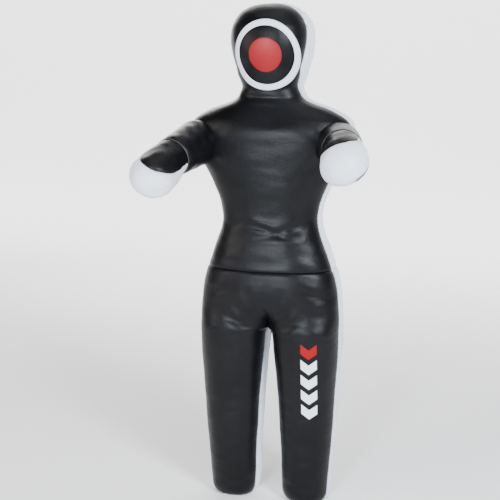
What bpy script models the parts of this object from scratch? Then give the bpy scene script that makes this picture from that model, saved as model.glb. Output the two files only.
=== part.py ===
"""Grappling dummy: a stuffed leather figure that stands on two flat soles with its arms held out in front.

The front faces -Y, the dummy's own left is +X and +Z is up.  Every segment is a stuffing solid inside a
leather cover, and a cover is a front panel, a back panel and the side strips (gussets) sewn between them.
The stuffing ends in a ball or an oval barrel that is turned about its joint, and sits in a matching cup.
"""
import bmesh
import bpy
import numpy as np
from math import atan2, cos, pi, radians, sin, sqrt, tan
from mathutils import Matrix, Vector

# Driving dimensions, in metres.
HEIGHT = 1.520
SKIN = 0.004          # leather with its lining
SLACK = 0.0015        # between cover and stuffing
TAPE_ROOM = 0.0012    # more slack in the chest, for the zip's tapes
SEAM_GAP = 0.0004     # between two sewn edges
RUNNING_GAP = 0.0006  # between a ball end and its cup
PATCH_LIFT = 0.0032   # from the hood's true surface to the back of a sewn patch
PATCH_THICKNESS = 0.0014
PATCH_SIDES = 24

AXIS_Y = 0.1203       # the body's upright axis, set so that the whole object is centred on the origin
TRUNK_SIDES = 20
LIMB_SIDES = 16
BOXY = 2.4            # superellipse power of a panel-and-gusset section
ROUND = 2.0
BALL_STEP = pi / 8    # between the rings of a ball
CUP_STEP = pi / 12    # between the rings of a cup, at most

# Trunk and head outline: height, half width, half depth.
TRUNK = (
    (0.500, 0.2195, 0.118), (0.610, 0.2190, 0.126), (0.700, 0.2100, 0.126), (0.780, 0.1840, 0.116),
    (0.890, 0.1515, 0.105), (1.000, 0.1830, 0.112), (1.060, 0.2160, 0.1158), (1.110, 0.2390, 0.119),
    (1.150, 0.2470, 0.1195), (1.185, 0.2370, 0.111), (1.215, 0.1860, 0.100), (1.236, 0.1270, 0.092),
    (1.270, 0.0930, 0.088), (1.322, 0.1065, 0.108), (1.375, 0.1205, 0.127), (1.426, 0.1255, 0.132),
    (1.462, 0.1185, 0.126), (1.495, 0.0920, 0.100), (1.512, 0.0560, 0.062), (HEIGHT, 0.0, 0.0),
)
# Leg outline: height, distance of the leg's axis from the middle, half width, half depth.
LEG = (
    (0.000, 0.1150, 0.0740, 0.0790), (0.080, 0.1155, 0.0785, 0.0830), (0.160, 0.1175, 0.0825, 0.0870),
    (0.240, 0.1180, 0.0880, 0.0925), (0.320, 0.1180, 0.0915, 0.0980), (0.400, 0.1170, 0.0970, 0.1070),
    (0.500, 0.1150, 0.1035, 0.1180), (0.560, 0.1130, 0.1060, 0.1230),
)
FOOT_ROUNDING = 0.034   # height over which the foot's edge turns under
FOOT_TUCK = 0.6         # share of that height by which the edge moves in
FOOT_RING_Z = 0.022     # one more ring on the rounded edge
SHIN_RING_Z = 0.100
UNDER_GAP = 0.0008      # between the sole and the leather above it
UNDER_STEP = 0.004      # between the lowest two rings of the foot
SOLE_HALF = (0.060, 0.066)
SOLE_THICKNESS = 0.005

NECK_DEPTH = 0.092      # half depth that the neck's two rims are cleared for
CHEST_RING_Z = (1.140, 1.165)  # last even ring below the shoulders, first one above them
HOOD_STRAIGHT_Z = 1.440
HOOD_RING_Z = (1.472, 1.497, 1.512)
HOOD_MIDDLE_Z = 1.400   # inner hood surfaces are drawn in towards this height
HOOD_NARROW = 0.050     # half width below which the hood's wall is drawn in less

# Joints: pivot heights, and how far each way (degrees) the cover's rims leave room for.
WAIST_Z, WAIST_BEND = 0.870, 35
HIP_Z, HIP_BEND = 0.560, 45
KNEE_Z, KNEE_BEND = 0.300, 45
NECK_Z, NECK_BEND = 1.262, 20
ELBOW_BEND = 45
SHOULDER_BEND = 42
RIM_ROOM = 0.0015       # more room between two rims than their bend needs
WAIST_BARREL = (0.140, 0.094)
HIP_BALL = 0.096
KNEE_BALL = 0.078
NECK_BALL = 0.078
SHOULDER_BALL = 0.056
ELBOW_BALL = 0.048

# Arms: the shoulder's pivot, and for each stretch how much of its length goes outwards and down.
SHOULDER = (0.214, -0.080, 1.115)
UPPER_LENGTH = 0.150
FORE_LENGTH = 0.090
ARM_POSE = {
    "left": {"upper": (0.247, -0.020), "fore": (0.235, 0.345)},
    "right": {"upper": (0.247, 0.235), "fore": (0.235, 0.480)},
}
UPPER_RADII = (0.068, 0.056)
HAND_RADIUS = 0.066
HAND_ROLL = radians(27)
BAND_HALF = (0.018, 0.047)  # half width of the hand's white band, at the elbow and at the tip
GLOVE_RADII = (0.0575, 0.0630, 0.0655)  # at the elbow's rim, a little past it, and before the round tip
GLOVE_STEP = 0.030
GLOVE_TIP = 0.012       # from the last straight ring to the round tip's middle
TIP_TURNS = (0, 0.35, 0.70, 1.02, 1.32, pi / 2)

GUSSET_HALF = {"hood": 0.048, "chest": 0.030, "pelvis": 0.030, "thigh": 0.031, "shin": 0.031}

# Face target: its centre, sewn on a little off the middle, then half width and half height of each edge.
TARGET_X, TARGET_Z = 0.0060, 1.3725
TARGET_OUTER = (0.0975, 0.0995)
TARGET_INNER = (0.0820, 0.0815)
TARGET_CENTRE = (0.0480, 0.0485)

# Filling zip in the back.
ZIP_BOTTOM_Z, ZIP_TOP_Z = 0.925, 1.100
ZIP_SLOT_HALF = 0.0080
TEETH_HALF = 0.0032
TEETH_DEPTH = 0.0030
SLIDER = (0.0110, 0.0050, 0.0160)
PULL = (0.0080, 0.0018, 0.0300)
ZIP_END = 0.0040        # from the slot's end to the zip's, and from the zip's end to its first tooth
SLOT_REACH = 0.0300     # how far the slot's cutter reaches to each side of the leather
TAPE_Y = (-0.0049, -0.0041)  # the tape's two faces, in the zip's own frame
TEETH_Y = -0.0038       # the back of the teeth
TAPE_GAP = 0.0005       # between the two tapes, and beside each
STOP_ENDS = (0.0005, 0.0035)
PULL_HINGE = (0.0018, 0.0040)  # of the pull's pivot: out from the slider, and down from its top
PULL_TOP = 0.0035

COLOURS = {
    "black": ((0.012, 0.012, 0.015), 0.42, 0.0),
    "white": ((0.72, 0.76, 0.84), 0.45, 0.0),
    "red": ((0.62, 0.02, 0.03), 0.40, 0.0),
    "stuffing": ((0.55, 0.52, 0.46), 0.95, 0.0),
    "tape": ((0.02, 0.02, 0.02), 0.85, 0.0),
    "metal": ((0.55, 0.55, 0.53), 0.35, 1.0),
}


def through(stations, height):
    """Smooth curve through the stations: each gap is a cubic whose end slopes come from the neighbours."""
    rows = np.array(stations, float)
    z, values = rows[:, 0], rows[:, 1:]
    slopes = np.gradient(values, z, axis=0)
    slopes[-1] = (values[-1] - values[-2]) / (z[-1] - z[-2])
    i = int(np.clip(np.searchsorted(z, height, side="right") - 1, 0, len(z) - 2))
    gap = z[i + 1] - z[i]
    t = (height - z[i]) / gap
    return (
        values[i] * (2 * t**3 - 3 * t**2 + 1) + slopes[i] * gap * (t**3 - 2 * t**2 + t)
        + values[i + 1] * (3 * t**2 - 2 * t**3) + slopes[i + 1] * gap * (t**3 - t**2)
    )


def oval(half_x, half_y, power, sides):
    """Superellipse as (sides, 2) points, from the front (-Y) round by +X."""
    turn = 2 * pi * np.arange(sides) / sides
    s, c = np.sin(turn), np.cos(turn)
    return np.stack([
        half_x * np.sign(s) * np.abs(s) ** (2 / power),
        -half_y * np.sign(c) * np.abs(c) ** (2 / power),
    ], axis=1)


def ring(centre, half_x, half_y, power, sides):
    flat = oval(half_x, half_y, power, sides)
    return np.column_stack([flat[:, 0] + centre[0], flat[:, 1] + centre[1], np.full(sides, centre[2])])


def trunk_ring(height, inset):
    half_x, half_y = through(TRUNK, height)
    return ring((0, AXIS_Y, height), half_x - inset, half_y - inset, BOXY, TRUNK_SIDES)


def leg_ring(height, inset, side):
    out, half_x, half_y = through(LEG, height)
    tuck = 0.0
    if height < FOOT_ROUNDING:
        tuck = FOOT_ROUNDING - sqrt(FOOT_ROUNDING**2 - (FOOT_ROUNDING - height) ** 2)
        tuck *= FOOT_TUCK
    centre = (side * out, AXIS_Y, height)
    return ring(centre, half_x - inset - tuck, half_y - inset - tuck, BOXY, LIMB_SIDES)


def turned_end(pivot, half_x, radius, offset, towards, sides, steps):
    """Rings of an oval barrel turned about the X axis through the pivot, from its rim to its pole.

    A ball has half_x equal to radius.  Its rim lies offset from the pivot, and its pole lies towards (+1 is
    up, -1 is down).
    """
    rim = np.arcsin(offset / radius)
    rings = []
    for angle in np.linspace(rim, pi / 2, steps + 1):
        shrink = cos(angle)
        height = pivot[2] + towards * radius * sin(angle)
        rings.append(ring((pivot[0], pivot[1], height), half_x * shrink, radius * shrink, ROUND, sides))
    return rings


def hollow(radius, sides, step):
    """Radius of a faceted cup whose flats all clear a ball of this radius; step is its rings' spacing."""
    return (radius + RUNNING_GAP) / (cos(pi / sides) * cos(step / 2))


def rim_offset(half_depth, bend):
    """Distance from a pivot at which two facing rims just meet when the joint bends by so many degrees."""
    return half_depth * tan(radians(bend) / 2) + RIM_ROOM


def mesh_of(rings_list, closed_start=True, closed_end=True):
    """Skin a list of rings into a bmesh, with a flat face over an end that is not a pole."""
    bm = bmesh.new()
    sides = len(rings_list[0])
    rows = [[bm.verts.new(p) for p in loop] for loop in rings_list]
    for low, high in zip(rows, rows[1:]):
        for k in range(sides):
            n = (k + 1) % sides
            bm.faces.new((low[k], low[n], high[n], high[k]))
    if closed_start:
        bm.faces.new(rows[0][::-1])
    if closed_end:
        bm.faces.new(rows[-1])
    return tidy(bm)


def tidy(bm):
    bmesh.ops.remove_doubles(bm, verts=bm.verts, dist=1e-6)
    bmesh.ops.dissolve_degenerate(bm, edges=bm.edges, dist=1e-7)
    bmesh.ops.delete(bm, geom=[e for e in bm.edges if e.is_wire], context="EDGES")
    bmesh.ops.recalc_face_normals(bm, faces=bm.faces)
    return bm


def shell_of(outer, inner, pole_at_end=False):
    """Cover between an outer and an inner list of rings: a tube with closed rims, or a cup when the last
    rings are poles."""
    if pole_at_end:
        return mesh_of(outer[::-1] + inner, False, False)
    return mesh_of(outer + inner[::-1] + [outer[0]], False, False)


def cut(source, *planes):
    """Copy of a bmesh with what lies beyond each plane (point, outward normal) taken off, and closed again."""
    bm = source.copy()
    for point, normal in planes:
        everything = bm.verts[:] + bm.edges[:] + bm.faces[:]
        bmesh.ops.bisect_plane(
            bm, geom=everything, dist=1e-7, plane_co=point, plane_no=normal, clear_outer=True)
        boundary = [e for e in bm.edges if e.is_boundary]
        if boundary:
            bmesh.ops.holes_fill(bm, edges=boundary, sides=0)
    return tidy(bm)


materials = {}


def material(name):
    if name not in materials:
        colour, roughness, metallic = COLOURS[name]
        made = bpy.data.materials.new(name)
        made.use_nodes = True
        shader = made.node_tree.nodes["Principled BSDF"]
        shader.inputs["Base Color"].default_value = (*colour, 1)
        shader.inputs["Roughness"].default_value = roughness
        shader.inputs["Metallic"].default_value = metallic
        made.diffuse_color = (*colour, 1)
        materials[name] = made
    return materials[name]


def put(name, bm, finish, pivot=None):
    """Make the bmesh, in world places, a named object whose origin is its joint's empty."""
    origin = Vector(pivot.location if pivot else (0, 0, 0))
    mesh = bpy.data.meshes.new(name)
    bm.transform(Matrix.Translation(-origin))
    bm.to_mesh(mesh)
    bm.free()
    mesh.shade_smooth()
    mesh.set_sharp_from_angle(angle=radians(50))
    mesh.materials.append(material(finish).copy())
    mesh.materials[0].name = name + "_finish"
    made = bpy.data.objects.new(name, mesh)
    bpy.context.scene.collection.objects.link(made)
    if pivot:
        made.parent = pivot
    return made


def pivot_at(name, place):
    empty = bpy.data.objects.new(name, None)
    empty.location = place
    empty.empty_display_size = 0.05
    bpy.context.scene.collection.objects.link(empty)
    return empty


def ball(centre, radius, sides=LIMB_SIDES):
    angles = np.arange(-pi / 2, pi / 2 + BALL_STEP / 2, BALL_STEP)
    return mesh_of([
        ring((centre[0], centre[1], centre[2] + radius * sin(a)), radius * cos(a), radius * cos(a), ROUND, sides)
        for a in angles
    ], False, False)


def bored(target, *cutters):
    for cutter in cutters:
        bore = target.modifiers.new("bore_" + cutter.name, "BOOLEAN")
        bore.operation = "DIFFERENCE"
        bore.solver = "EXACT"
        bore.object = cutter


def cutter_of(name, bm, pivot=None):
    made = put(name, bm, "stuffing", pivot)
    made.hide_render = True
    made.display_type = "WIRE"
    return made


def front_of(y):
    return Vector((0, y, 0)), Vector((0, 1, 0))


def behind(y):
    return Vector((0, y, 0)), Vector((0, -1, 0))


def right_of(x):
    return Vector((x, 0, 0)), Vector((1, 0, 0))


def left_of(x):
    return Vector((x, 0, 0)), Vector((-1, 0, 0))


def panels(cover, half):
    """Front panel, back panel and gusset of a cover: the gusset lies between two planes across Y."""
    gap = SEAM_GAP / 2
    front = cut(cover, front_of(AXIS_Y - half - gap))
    back = cut(cover, behind(AXIS_Y + half + gap))
    gusset = cut(cover, front_of(AXIS_Y + half - gap), behind(AXIS_Y - half + gap))
    return front, back, gusset


def levels(low, high, count):
    return list(np.linspace(low, high, count))


def pelvis():
    depth = through(TRUNK, WAIST_Z)[1]
    top = WAIST_Z - rim_offset(depth, WAIST_BEND)
    bottom = HIP_Z + rim_offset(through(LEG, HIP_Z)[2], HIP_BEND)
    heights = levels(bottom, top, 6)
    cover = shell_of([trunk_ring(z, 0) for z in heights], [trunk_ring(z, SKIN) for z in heights])
    front, back, gusset = panels(cover, GUSSET_HALF["pelvis"])
    put("pelvis_front_panel", front, "black")
    put("pelvis_back_panel", back, "black")
    put("pelvis_gusset_left", cut(gusset, left_of(0)), "white")
    put("pelvis_gusset_right", cut(gusset, right_of(0)), "white")
    barrel = turned_end((0, AXIS_Y, WAIST_Z), *WAIST_BARREL, top - WAIST_Z, 1, TRUNK_SIDES, 6)
    stuffing = [trunk_ring(z, SKIN + SLACK) for z in heights] + barrel
    solid = put("pelvis_fill", mesh_of(stuffing, True, False), "stuffing")
    for side, sign in (("left", 1), ("right", -1)):
        hip = (sign * through(LEG, HIP_Z)[0], AXIS_Y, HIP_Z)
        bored(solid, cutter_of("hip_cup_" + side, ball(hip, hollow(HIP_BALL, LIMB_SIDES, BALL_STEP))))


def chest(pivot):
    depth = through(TRUNK, WAIST_Z)[1]
    bottom = WAIST_Z + rim_offset(depth, WAIST_BEND)
    top = NECK_Z - rim_offset(NECK_DEPTH, NECK_BEND)
    heights = levels(bottom, CHEST_RING_Z[0], 6) + levels(CHEST_RING_Z[1], top, 4)
    cover = shell_of([trunk_ring(z, 0) for z in heights], [trunk_ring(z, SKIN) for z in heights])
    front, back, gusset = panels(cover, GUSSET_HALF["chest"])
    gap = SEAM_GAP / 2
    fronts = [
        put("chest_front_panel", front, "black", pivot),
        put("chest_gusset_left", cut(gusset, left_of(0)), "white", pivot),
        put("chest_gusset_right", cut(gusset, right_of(0)), "white", pivot),
    ]
    backs = [
        put("chest_back_panel_left", cut(back, left_of(gap)), "black", pivot),
        put("chest_back_panel_right", cut(back, right_of(-gap)), "black", pivot),
    ]
    slot = block(0, ZIP_SLOT_HALF, -SLOT_REACH, SLOT_REACH, -ZIP_END, zip_length() + ZIP_END)
    slot_cutter = cutter_of("zip_slot", slot, pivot)
    for panel in backs:
        bored(panel, slot_cutter)

    cup = [hollow(size, TRUNK_SIDES, CUP_STEP) for size in WAIST_BARREL]
    seat = turned_end((0, AXIS_Y, WAIST_Z), *cup, bottom - WAIST_Z, 1, TRUNK_SIDES, 5)
    socket = hollow(NECK_BALL, TRUNK_SIDES, CUP_STEP)
    crown = turned_end((0, AXIS_Y, NECK_Z), socket, socket, NECK_Z - top, -1, TRUNK_SIDES, 5)
    stuffing = seat[::-1] + [trunk_ring(z, SKIN + SLACK + TAPE_ROOM) for z in heights] + crown
    solid = put("chest_fill", mesh_of(stuffing, False, False), "stuffing", pivot)
    for side, sign in (("left", 1), ("right", -1)):
        place = shoulder_place(sign)
        shoulder_cup = ball(place, hollow(SHOULDER_BALL, LIMB_SIDES, BALL_STEP))
        shoulder_cutter = cutter_of("shoulder_cup_" + side, shoulder_cup, pivot)
        for piece in fronts + [solid]:
            bored(piece, shoulder_cutter)


def zip_ends():
    """Lower and upper end of the zip's straight line, on the back's surface."""
    low = Vector((0, AXIS_Y + through(TRUNK, ZIP_BOTTOM_Z)[1], ZIP_BOTTOM_Z))
    high = Vector((0, AXIS_Y + through(TRUNK, ZIP_TOP_Z)[1], ZIP_TOP_Z))
    return low, high


def zip_length():
    low, high = zip_ends()
    return (high - low).length


def zip_frame():
    """X across the zip, Y out of the back and Z up along it, from its lower end."""
    low, high = zip_ends()
    up = (high - low).normalized()
    across = Vector((1, 0, 0))
    out = up.cross(across)
    return Matrix.Translation(low) @ Matrix((across, out, up)).transposed().to_4x4()


def block(centre_x, half_x, near_y, far_y, low_z, high_z):
    """Box in the zip's own frame, returned in world places."""
    bm = bmesh.new()
    size = Matrix.Diagonal((2 * half_x, far_y - near_y, high_z - low_z, 1))
    place = Matrix.Translation((centre_x, (near_y + far_y) / 2, (low_z + high_z) / 2))
    bmesh.ops.create_cube(bm, size=1, matrix=zip_frame() @ place @ size)
    return tidy(bm)


def back_zip(chest_pivot):
    length = zip_length()
    teeth_y = (TEETH_Y, TEETH_Y + TEETH_DEPTH)
    stop_near, stop_far = STOP_ENDS
    for side, sign in (("left", 1), ("right", -1)):
        tape_half = (ZIP_SLOT_HALF - 2 * TAPE_GAP) / 2
        put("zip_tape_" + side, block(sign * (tape_half + TAPE_GAP), tape_half, *TAPE_Y, 0, length),
            "tape", chest_pivot)
        teeth_half = TEETH_HALF / 2 - SEAM_GAP / 4
        put("zip_teeth_" + side, block(sign * (teeth_half + SEAM_GAP / 2), teeth_half, *teeth_y,
                                       ZIP_END, length - ZIP_END), "metal", chest_pivot)
    put("zip_bottom_stop", block(0, TEETH_HALF, *teeth_y, stop_near, stop_far), "metal", chest_pivot)
    put("zip_top_stop", block(0, TEETH_HALF, *teeth_y, length - stop_far, length - stop_near), "metal",
        chest_pivot)

    slider_top = length - ZIP_END
    slider_near = teeth_y[1] + RUNNING_GAP
    slider_far = slider_near + SLIDER[1]
    frame = zip_frame()
    slider_pivot = pivot_at("slider_place", frame @ Vector((0, slider_near, slider_top)))
    put("zip_slider", block(0, SLIDER[0] / 2, slider_near, slider_far, slider_top - SLIDER[2], slider_top),
        "metal", slider_pivot)
    hinge_out, hinge_down = PULL_HINGE
    hinge = frame @ Vector((0, slider_far + hinge_out, slider_top - hinge_down))
    pull_pivot = pivot_at("pull_hinge", hinge)
    pull_near = slider_far + hinge_out - PULL[1] / 2
    put("zip_pull_tab", block(0, PULL[0] / 2, pull_near, pull_near + PULL[1],
                              slider_top - hinge_down - PULL[2], slider_top - PULL_TOP), "metal", pull_pivot)


def hood_ring(height, inset):
    """Hood section: an inner surface is drawn in towards the head's middle as well as inwards."""
    reach = HEIGHT - HOOD_MIDDLE_Z
    lowered = HOOD_MIDDLE_Z + (height - HOOD_MIDDLE_Z) * (1 - inset / reach)
    half_x, half_y = through(TRUNK, height)
    shrink = min(1.0, half_x / HOOD_NARROW) * inset
    return ring((0, AXIS_Y, lowered), max(half_x - shrink, 0), max(half_y - shrink, 0), BOXY, TRUNK_SIDES)


def head(neck_pivot, head_pivot):
    put("neck_fill", ball((0, AXIS_Y, NECK_Z), NECK_BALL, TRUNK_SIDES), "stuffing", neck_pivot)
    bottom = NECK_Z + rim_offset(NECK_DEPTH, NECK_BEND)
    heights = levels(bottom, HOOD_STRAIGHT_Z, 6) + [*HOOD_RING_Z, HEIGHT]
    outer = [hood_ring(z, 0) for z in heights]
    inner = [hood_ring(z, SKIN) for z in heights]
    cover = shell_of(outer, inner, pole_at_end=True)
    front, back, gusset = panels(cover, GUSSET_HALF["hood"])
    put("hood_front_panel", front, "black", head_pivot)
    put("hood_back_panel", back, "black", head_pivot)
    put("hood_gusset", gusset, "white", head_pivot)
    socket = hollow(NECK_BALL, TRUNK_SIDES, CUP_STEP)
    seat = turned_end((0, AXIS_Y, NECK_Z), socket, socket, bottom + SKIN - NECK_Z, 1, TRUNK_SIDES, 5)
    stuffing = seat[::-1] + [hood_ring(z, SKIN + SLACK) for z in heights]
    put("head_fill", mesh_of(stuffing, False, False), "stuffing", head_pivot)
    edge = SEAM_GAP / 2
    put("target_ring", patch(TARGET_INNER, TARGET_OUTER, edge), "white", head_pivot)
    put("target_centre", patch((0.0, 0.0), TARGET_CENTRE, edge), "red", head_pivot)


def hood_face(x, height):
    """Y of the hood's front surface."""
    half_x, half_y = through(TRUNK, height)
    return AXIS_Y - half_y * (1 - min(abs(x) / half_x, 0.999) ** BOXY) ** (1 / BOXY)


def patch(inner, outer, edge):
    """Oval patch or ring that lies on the hood's front surface."""
    def loop(half_x, half_z, lift):
        turn = 2 * pi * np.arange(PATCH_SIDES) / PATCH_SIDES
        xs, zs = TARGET_X + half_x * np.sin(turn), TARGET_Z + half_z * np.cos(turn)
        return np.array([(x, hood_face(x, z) - lift, z) for x, z in zip(xs, zs)])
    steps = 2 if inner[0] > 0 else 3
    near, far = PATCH_LIFT, PATCH_LIFT + PATCH_THICKNESS
    spans = np.linspace(0, 1, steps + 1)
    holed = inner[0] > 0
    start = [i + edge if holed else 0.0 for i in inner]
    stop = [o - edge for o in outer]
    sizes = [[s + (e - s) * k for s, e in zip(start, stop)] for k in spans]
    outer_face = [loop(*size, far) for size in sizes]
    inner_face = [loop(*size, near) for size in sizes]
    loops = outer_face + inner_face[::-1]
    if holed:
        loops.append(outer_face[0])
    return mesh_of(loops, False, False)


def shoulder_place(sign):
    return Vector((sign * SHOULDER[0], AXIS_Y + SHOULDER[1], SHOULDER[2]))


def direction(sign, out, down):
    return Vector((sign * out, -sqrt(1 - out**2 - down**2), -down))


def arm_frame(place, along, sign):
    """Z along the arm, Y towards the back of the hand (up, rolled inwards) and X across it."""
    up = (Vector((0, 0, 1)) - along * along.z).normalized()
    up = Matrix.Rotation(sign * HAND_ROLL, 3, along) @ up
    across = up.cross(along)
    return Matrix.Translation(place) @ Matrix((across, up, along)).transposed().to_4x4()


def arm_rings(frame, stations, inset):
    """Round rings along an arm: each station is a distance along it and a radius."""
    loops = []
    for along, radius in stations:
        local = ring((0, 0, along), max(radius - inset, 0), max(radius - inset, 0), ROUND, LIMB_SIDES)
        loops.append(np.array([frame @ Vector(p) for p in local]))
    return loops


def sphere_stations(centre, radius, start, stop, steps):
    """Stations of a ball on the arm's axis, between two angles from its equator."""
    return [(centre + radius * sin(a), radius * cos(a)) for a in np.linspace(start, stop, steps + 1)]


def arm(side, sign, shoulder_pivot, upper_pivot, fore_pivot):
    place = shoulder_place(sign)
    upper = arm_frame(place, direction(sign, *ARM_POSE[side]["upper"]), sign)
    put("shoulder_fill_" + side, ball(place, SHOULDER_BALL), "stuffing", shoulder_pivot)

    start = rim_offset(UPPER_RADII[0], SHOULDER_BEND)
    stop = UPPER_LENGTH - rim_offset(UPPER_RADII[1], ELBOW_BEND)
    sleeve = [(d, np.interp(d, (0, UPPER_LENGTH), UPPER_RADII)) for d in levels(start, stop, 4)]
    put("upper_arm_sleeve_" + side,
        shell_of(arm_rings(upper, sleeve, 0), arm_rings(upper, sleeve, SKIN)), "black", upper_pivot)
    cup = hollow(SHOULDER_BALL, LIMB_SIDES, CUP_STEP)
    seat = sphere_stations(0, cup, pi / 2, np.arcsin(start / cup), 5)
    tip = sphere_stations(UPPER_LENGTH, ELBOW_BALL, -np.arcsin((UPPER_LENGTH - stop) / ELBOW_BALL), pi / 2, 6)
    loops = arm_rings(upper, seat, 0) + arm_rings(upper, sleeve, SKIN + SLACK) + arm_rings(upper, tip, 0)
    put("upper_arm_fill_" + side, mesh_of(loops, False, False), "stuffing", upper_pivot)

    elbow = upper @ Vector((0, 0, UPPER_LENGTH))
    fore = arm_frame(elbow, direction(sign, *ARM_POSE[side]["fore"]), sign)
    start = rim_offset(UPPER_RADII[1], ELBOW_BEND)
    stations = list(zip((start, start + GLOVE_STEP, FORE_LENGTH - GLOVE_TIP), GLOVE_RADII))

    def glove(inset):
        straight = arm_rings(fore, stations, inset)
        tip_radius = HAND_RADIUS - inset
        end = [(FORE_LENGTH + tip_radius * sin(a), tip_radius * cos(a)) for a in TIP_TURNS]
        return straight + arm_rings(fore, end, 0)
    cover = shell_of(glove(0), glove(SKIN), pole_at_end=True)
    span = FORE_LENGTH + HAND_RADIUS - start
    slope = atan2(BAND_HALF[1] - BAND_HALF[0], span)

    def seam_plane(face, shift):
        """Plane of a band seam: face +1 is the back of the hand's, and its normal points away from the band."""
        normal = Vector((0, face * cos(slope), -sin(slope)))
        point = Vector((0, face * BAND_HALF[0], start)) + normal * shift
        return fore @ point, fore.to_3x3() @ normal

    def flipped(plane):
        return plane[0], -plane[1]

    gap = SEAM_GAP / 2
    put("forearm_top_panel_" + side, cut(cover, flipped(seam_plane(1, gap))), "black", fore_pivot)
    put("forearm_bottom_panel_" + side, cut(cover, flipped(seam_plane(-1, gap))), "black", fore_pivot)
    put("hand_band_" + side, cut(cover, seam_plane(1, -gap), seam_plane(-1, -gap)), "white", fore_pivot)
    cup = hollow(ELBOW_BALL, LIMB_SIDES, CUP_STEP)
    seat = sphere_stations(0, cup, pi / 2, np.arcsin(start / cup), 4)
    put("forearm_fill_" + side, mesh_of(arm_rings(fore, seat, 0) + glove(SKIN + SLACK), False, False),
        "stuffing", fore_pivot)


def leg(side, sign, thigh_pivot, shin_pivot):
    hip_out = through(LEG, HIP_Z)[0]
    knee_out = through(LEG, KNEE_Z)[0]
    top = HIP_Z - rim_offset(through(LEG, HIP_Z)[2], HIP_BEND)
    knee_room = rim_offset(through(LEG, KNEE_Z)[2], KNEE_BEND)
    inset = SKIN + SLACK

    def sew(part, cover, pivot):
        front, back, gusset = panels(cover, GUSSET_HALF[part])
        put(f"{part}_front_panel_{side}", front, "black", pivot)
        put(f"{part}_back_panel_{side}", back, "black", pivot)
        return gusset

    def rings(heights, inwards):
        return [leg_ring(z, inwards, sign) for z in heights]

    heights = levels(KNEE_Z + knee_room, top, 4)
    gusset = sew("thigh", shell_of(rings(heights, 0), rings(heights, SKIN)), thigh_pivot)
    outer_side, inner_side = (left_of, right_of) if sign > 0 else (right_of, left_of)
    put("thigh_gusset_outer_" + side, cut(gusset, outer_side(sign * knee_out)), "white", thigh_pivot)
    put("thigh_gusset_inner_" + side, cut(gusset, inner_side(sign * knee_out)), "white", thigh_pivot)
    knee = (sign * knee_out, AXIS_Y, KNEE_Z)
    hip = (sign * hip_out, AXIS_Y, HIP_Z)
    low_end = turned_end(knee, KNEE_BALL, KNEE_BALL, knee_room, 1, LIMB_SIDES, 1)[:1]
    under = [ring((knee[0], knee[1], knee[2] + KNEE_BALL * sin(a)), KNEE_BALL * cos(a), KNEE_BALL * cos(a),
                  ROUND, LIMB_SIDES) for a in np.linspace(-pi / 2, np.arcsin(knee_room / KNEE_BALL), 7)[:-1]]
    above = [ring((hip[0], hip[1], hip[2] + HIP_BALL * sin(a)), HIP_BALL * cos(a), HIP_BALL * cos(a),
                  ROUND, LIMB_SIDES) for a in np.linspace(-np.arcsin((HIP_Z - top) / HIP_BALL), pi / 2, 8)]
    column = rings(heights, inset)
    put("thigh_fill_" + side, mesh_of(under + low_end + column + above, False, False), "stuffing", thigh_pivot)

    def foot_cup(inwards):
        """Rings from the knee's rim down to the flat underside, which closes on a pole."""
        under = SOLE_THICKNESS + UNDER_GAP + inwards
        heights = levels(KNEE_Z - knee_room, SHIN_RING_Z, 3)
        heights += [FOOT_ROUNDING, FOOT_RING_Z, under + UNDER_STEP, under]
        pole = ring((sign * LEG[0][1], AXIS_Y, under), 0, 0, ROUND, LIMB_SIDES)
        return rings(heights, inwards) + [pole]

    gusset = sew("shin", shell_of(foot_cup(0), foot_cup(SKIN), pole_at_end=True), shin_pivot)
    put("shin_gusset_" + side, gusset, "white", shin_pivot)
    socket = hollow(KNEE_BALL, LIMB_SIDES, CUP_STEP)
    cup = turned_end(knee, socket, socket, knee_room, -1, LIMB_SIDES, 4)
    put("shin_fill_" + side, mesh_of(cup[::-1] + foot_cup(inset), False, False), "stuffing", shin_pivot)
    centre = (sign * LEG[0][1], AXIS_Y, 0)
    raised = (centre[0], centre[1], SOLE_THICKNESS)
    sole = [ring(centre, *SOLE_HALF, BOXY, LIMB_SIDES), ring(raised, *SOLE_HALF, BOXY, LIMB_SIDES)]
    put("foot_sole_" + side, mesh_of(sole), "black", shin_pivot)


def clear_scene():
    for existing in list(bpy.data.objects):
        bpy.data.objects.remove(existing, do_unlink=True)


def build():
    clear_scene()
    pelvis()
    waist = pivot_at("waist_hinge", (0, AXIS_Y, WAIST_Z))
    chest(waist)
    back_zip(waist)
    head(pivot_at("neck_hinge", (0, AXIS_Y, NECK_Z)), pivot_at("head_swivel", (0, AXIS_Y, NECK_Z)))
    for side, sign in (("left", 1), ("right", -1)):
        place = shoulder_place(sign)
        elbow = place + UPPER_LENGTH * direction(sign, *ARM_POSE[side]["upper"])
        arm(side, sign, pivot_at("shoulder_hinge_" + side, place), pivot_at("arm_swivel_" + side, place),
            pivot_at("elbow_hinge_" + side, elbow))
        leg(side, sign, pivot_at("hip_hinge_" + side, (sign * through(LEG, HIP_Z)[0], AXIS_Y, HIP_Z)),
            pivot_at("knee_hinge_" + side, (sign * through(LEG, KNEE_Z)[0], AXIS_Y, KNEE_Z)))


build()
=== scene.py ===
from math import atan, cos, pi, radians, sin, sqrt

import bmesh
import bpy
import numpy as np
from mathutils import Matrix, Vector


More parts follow.
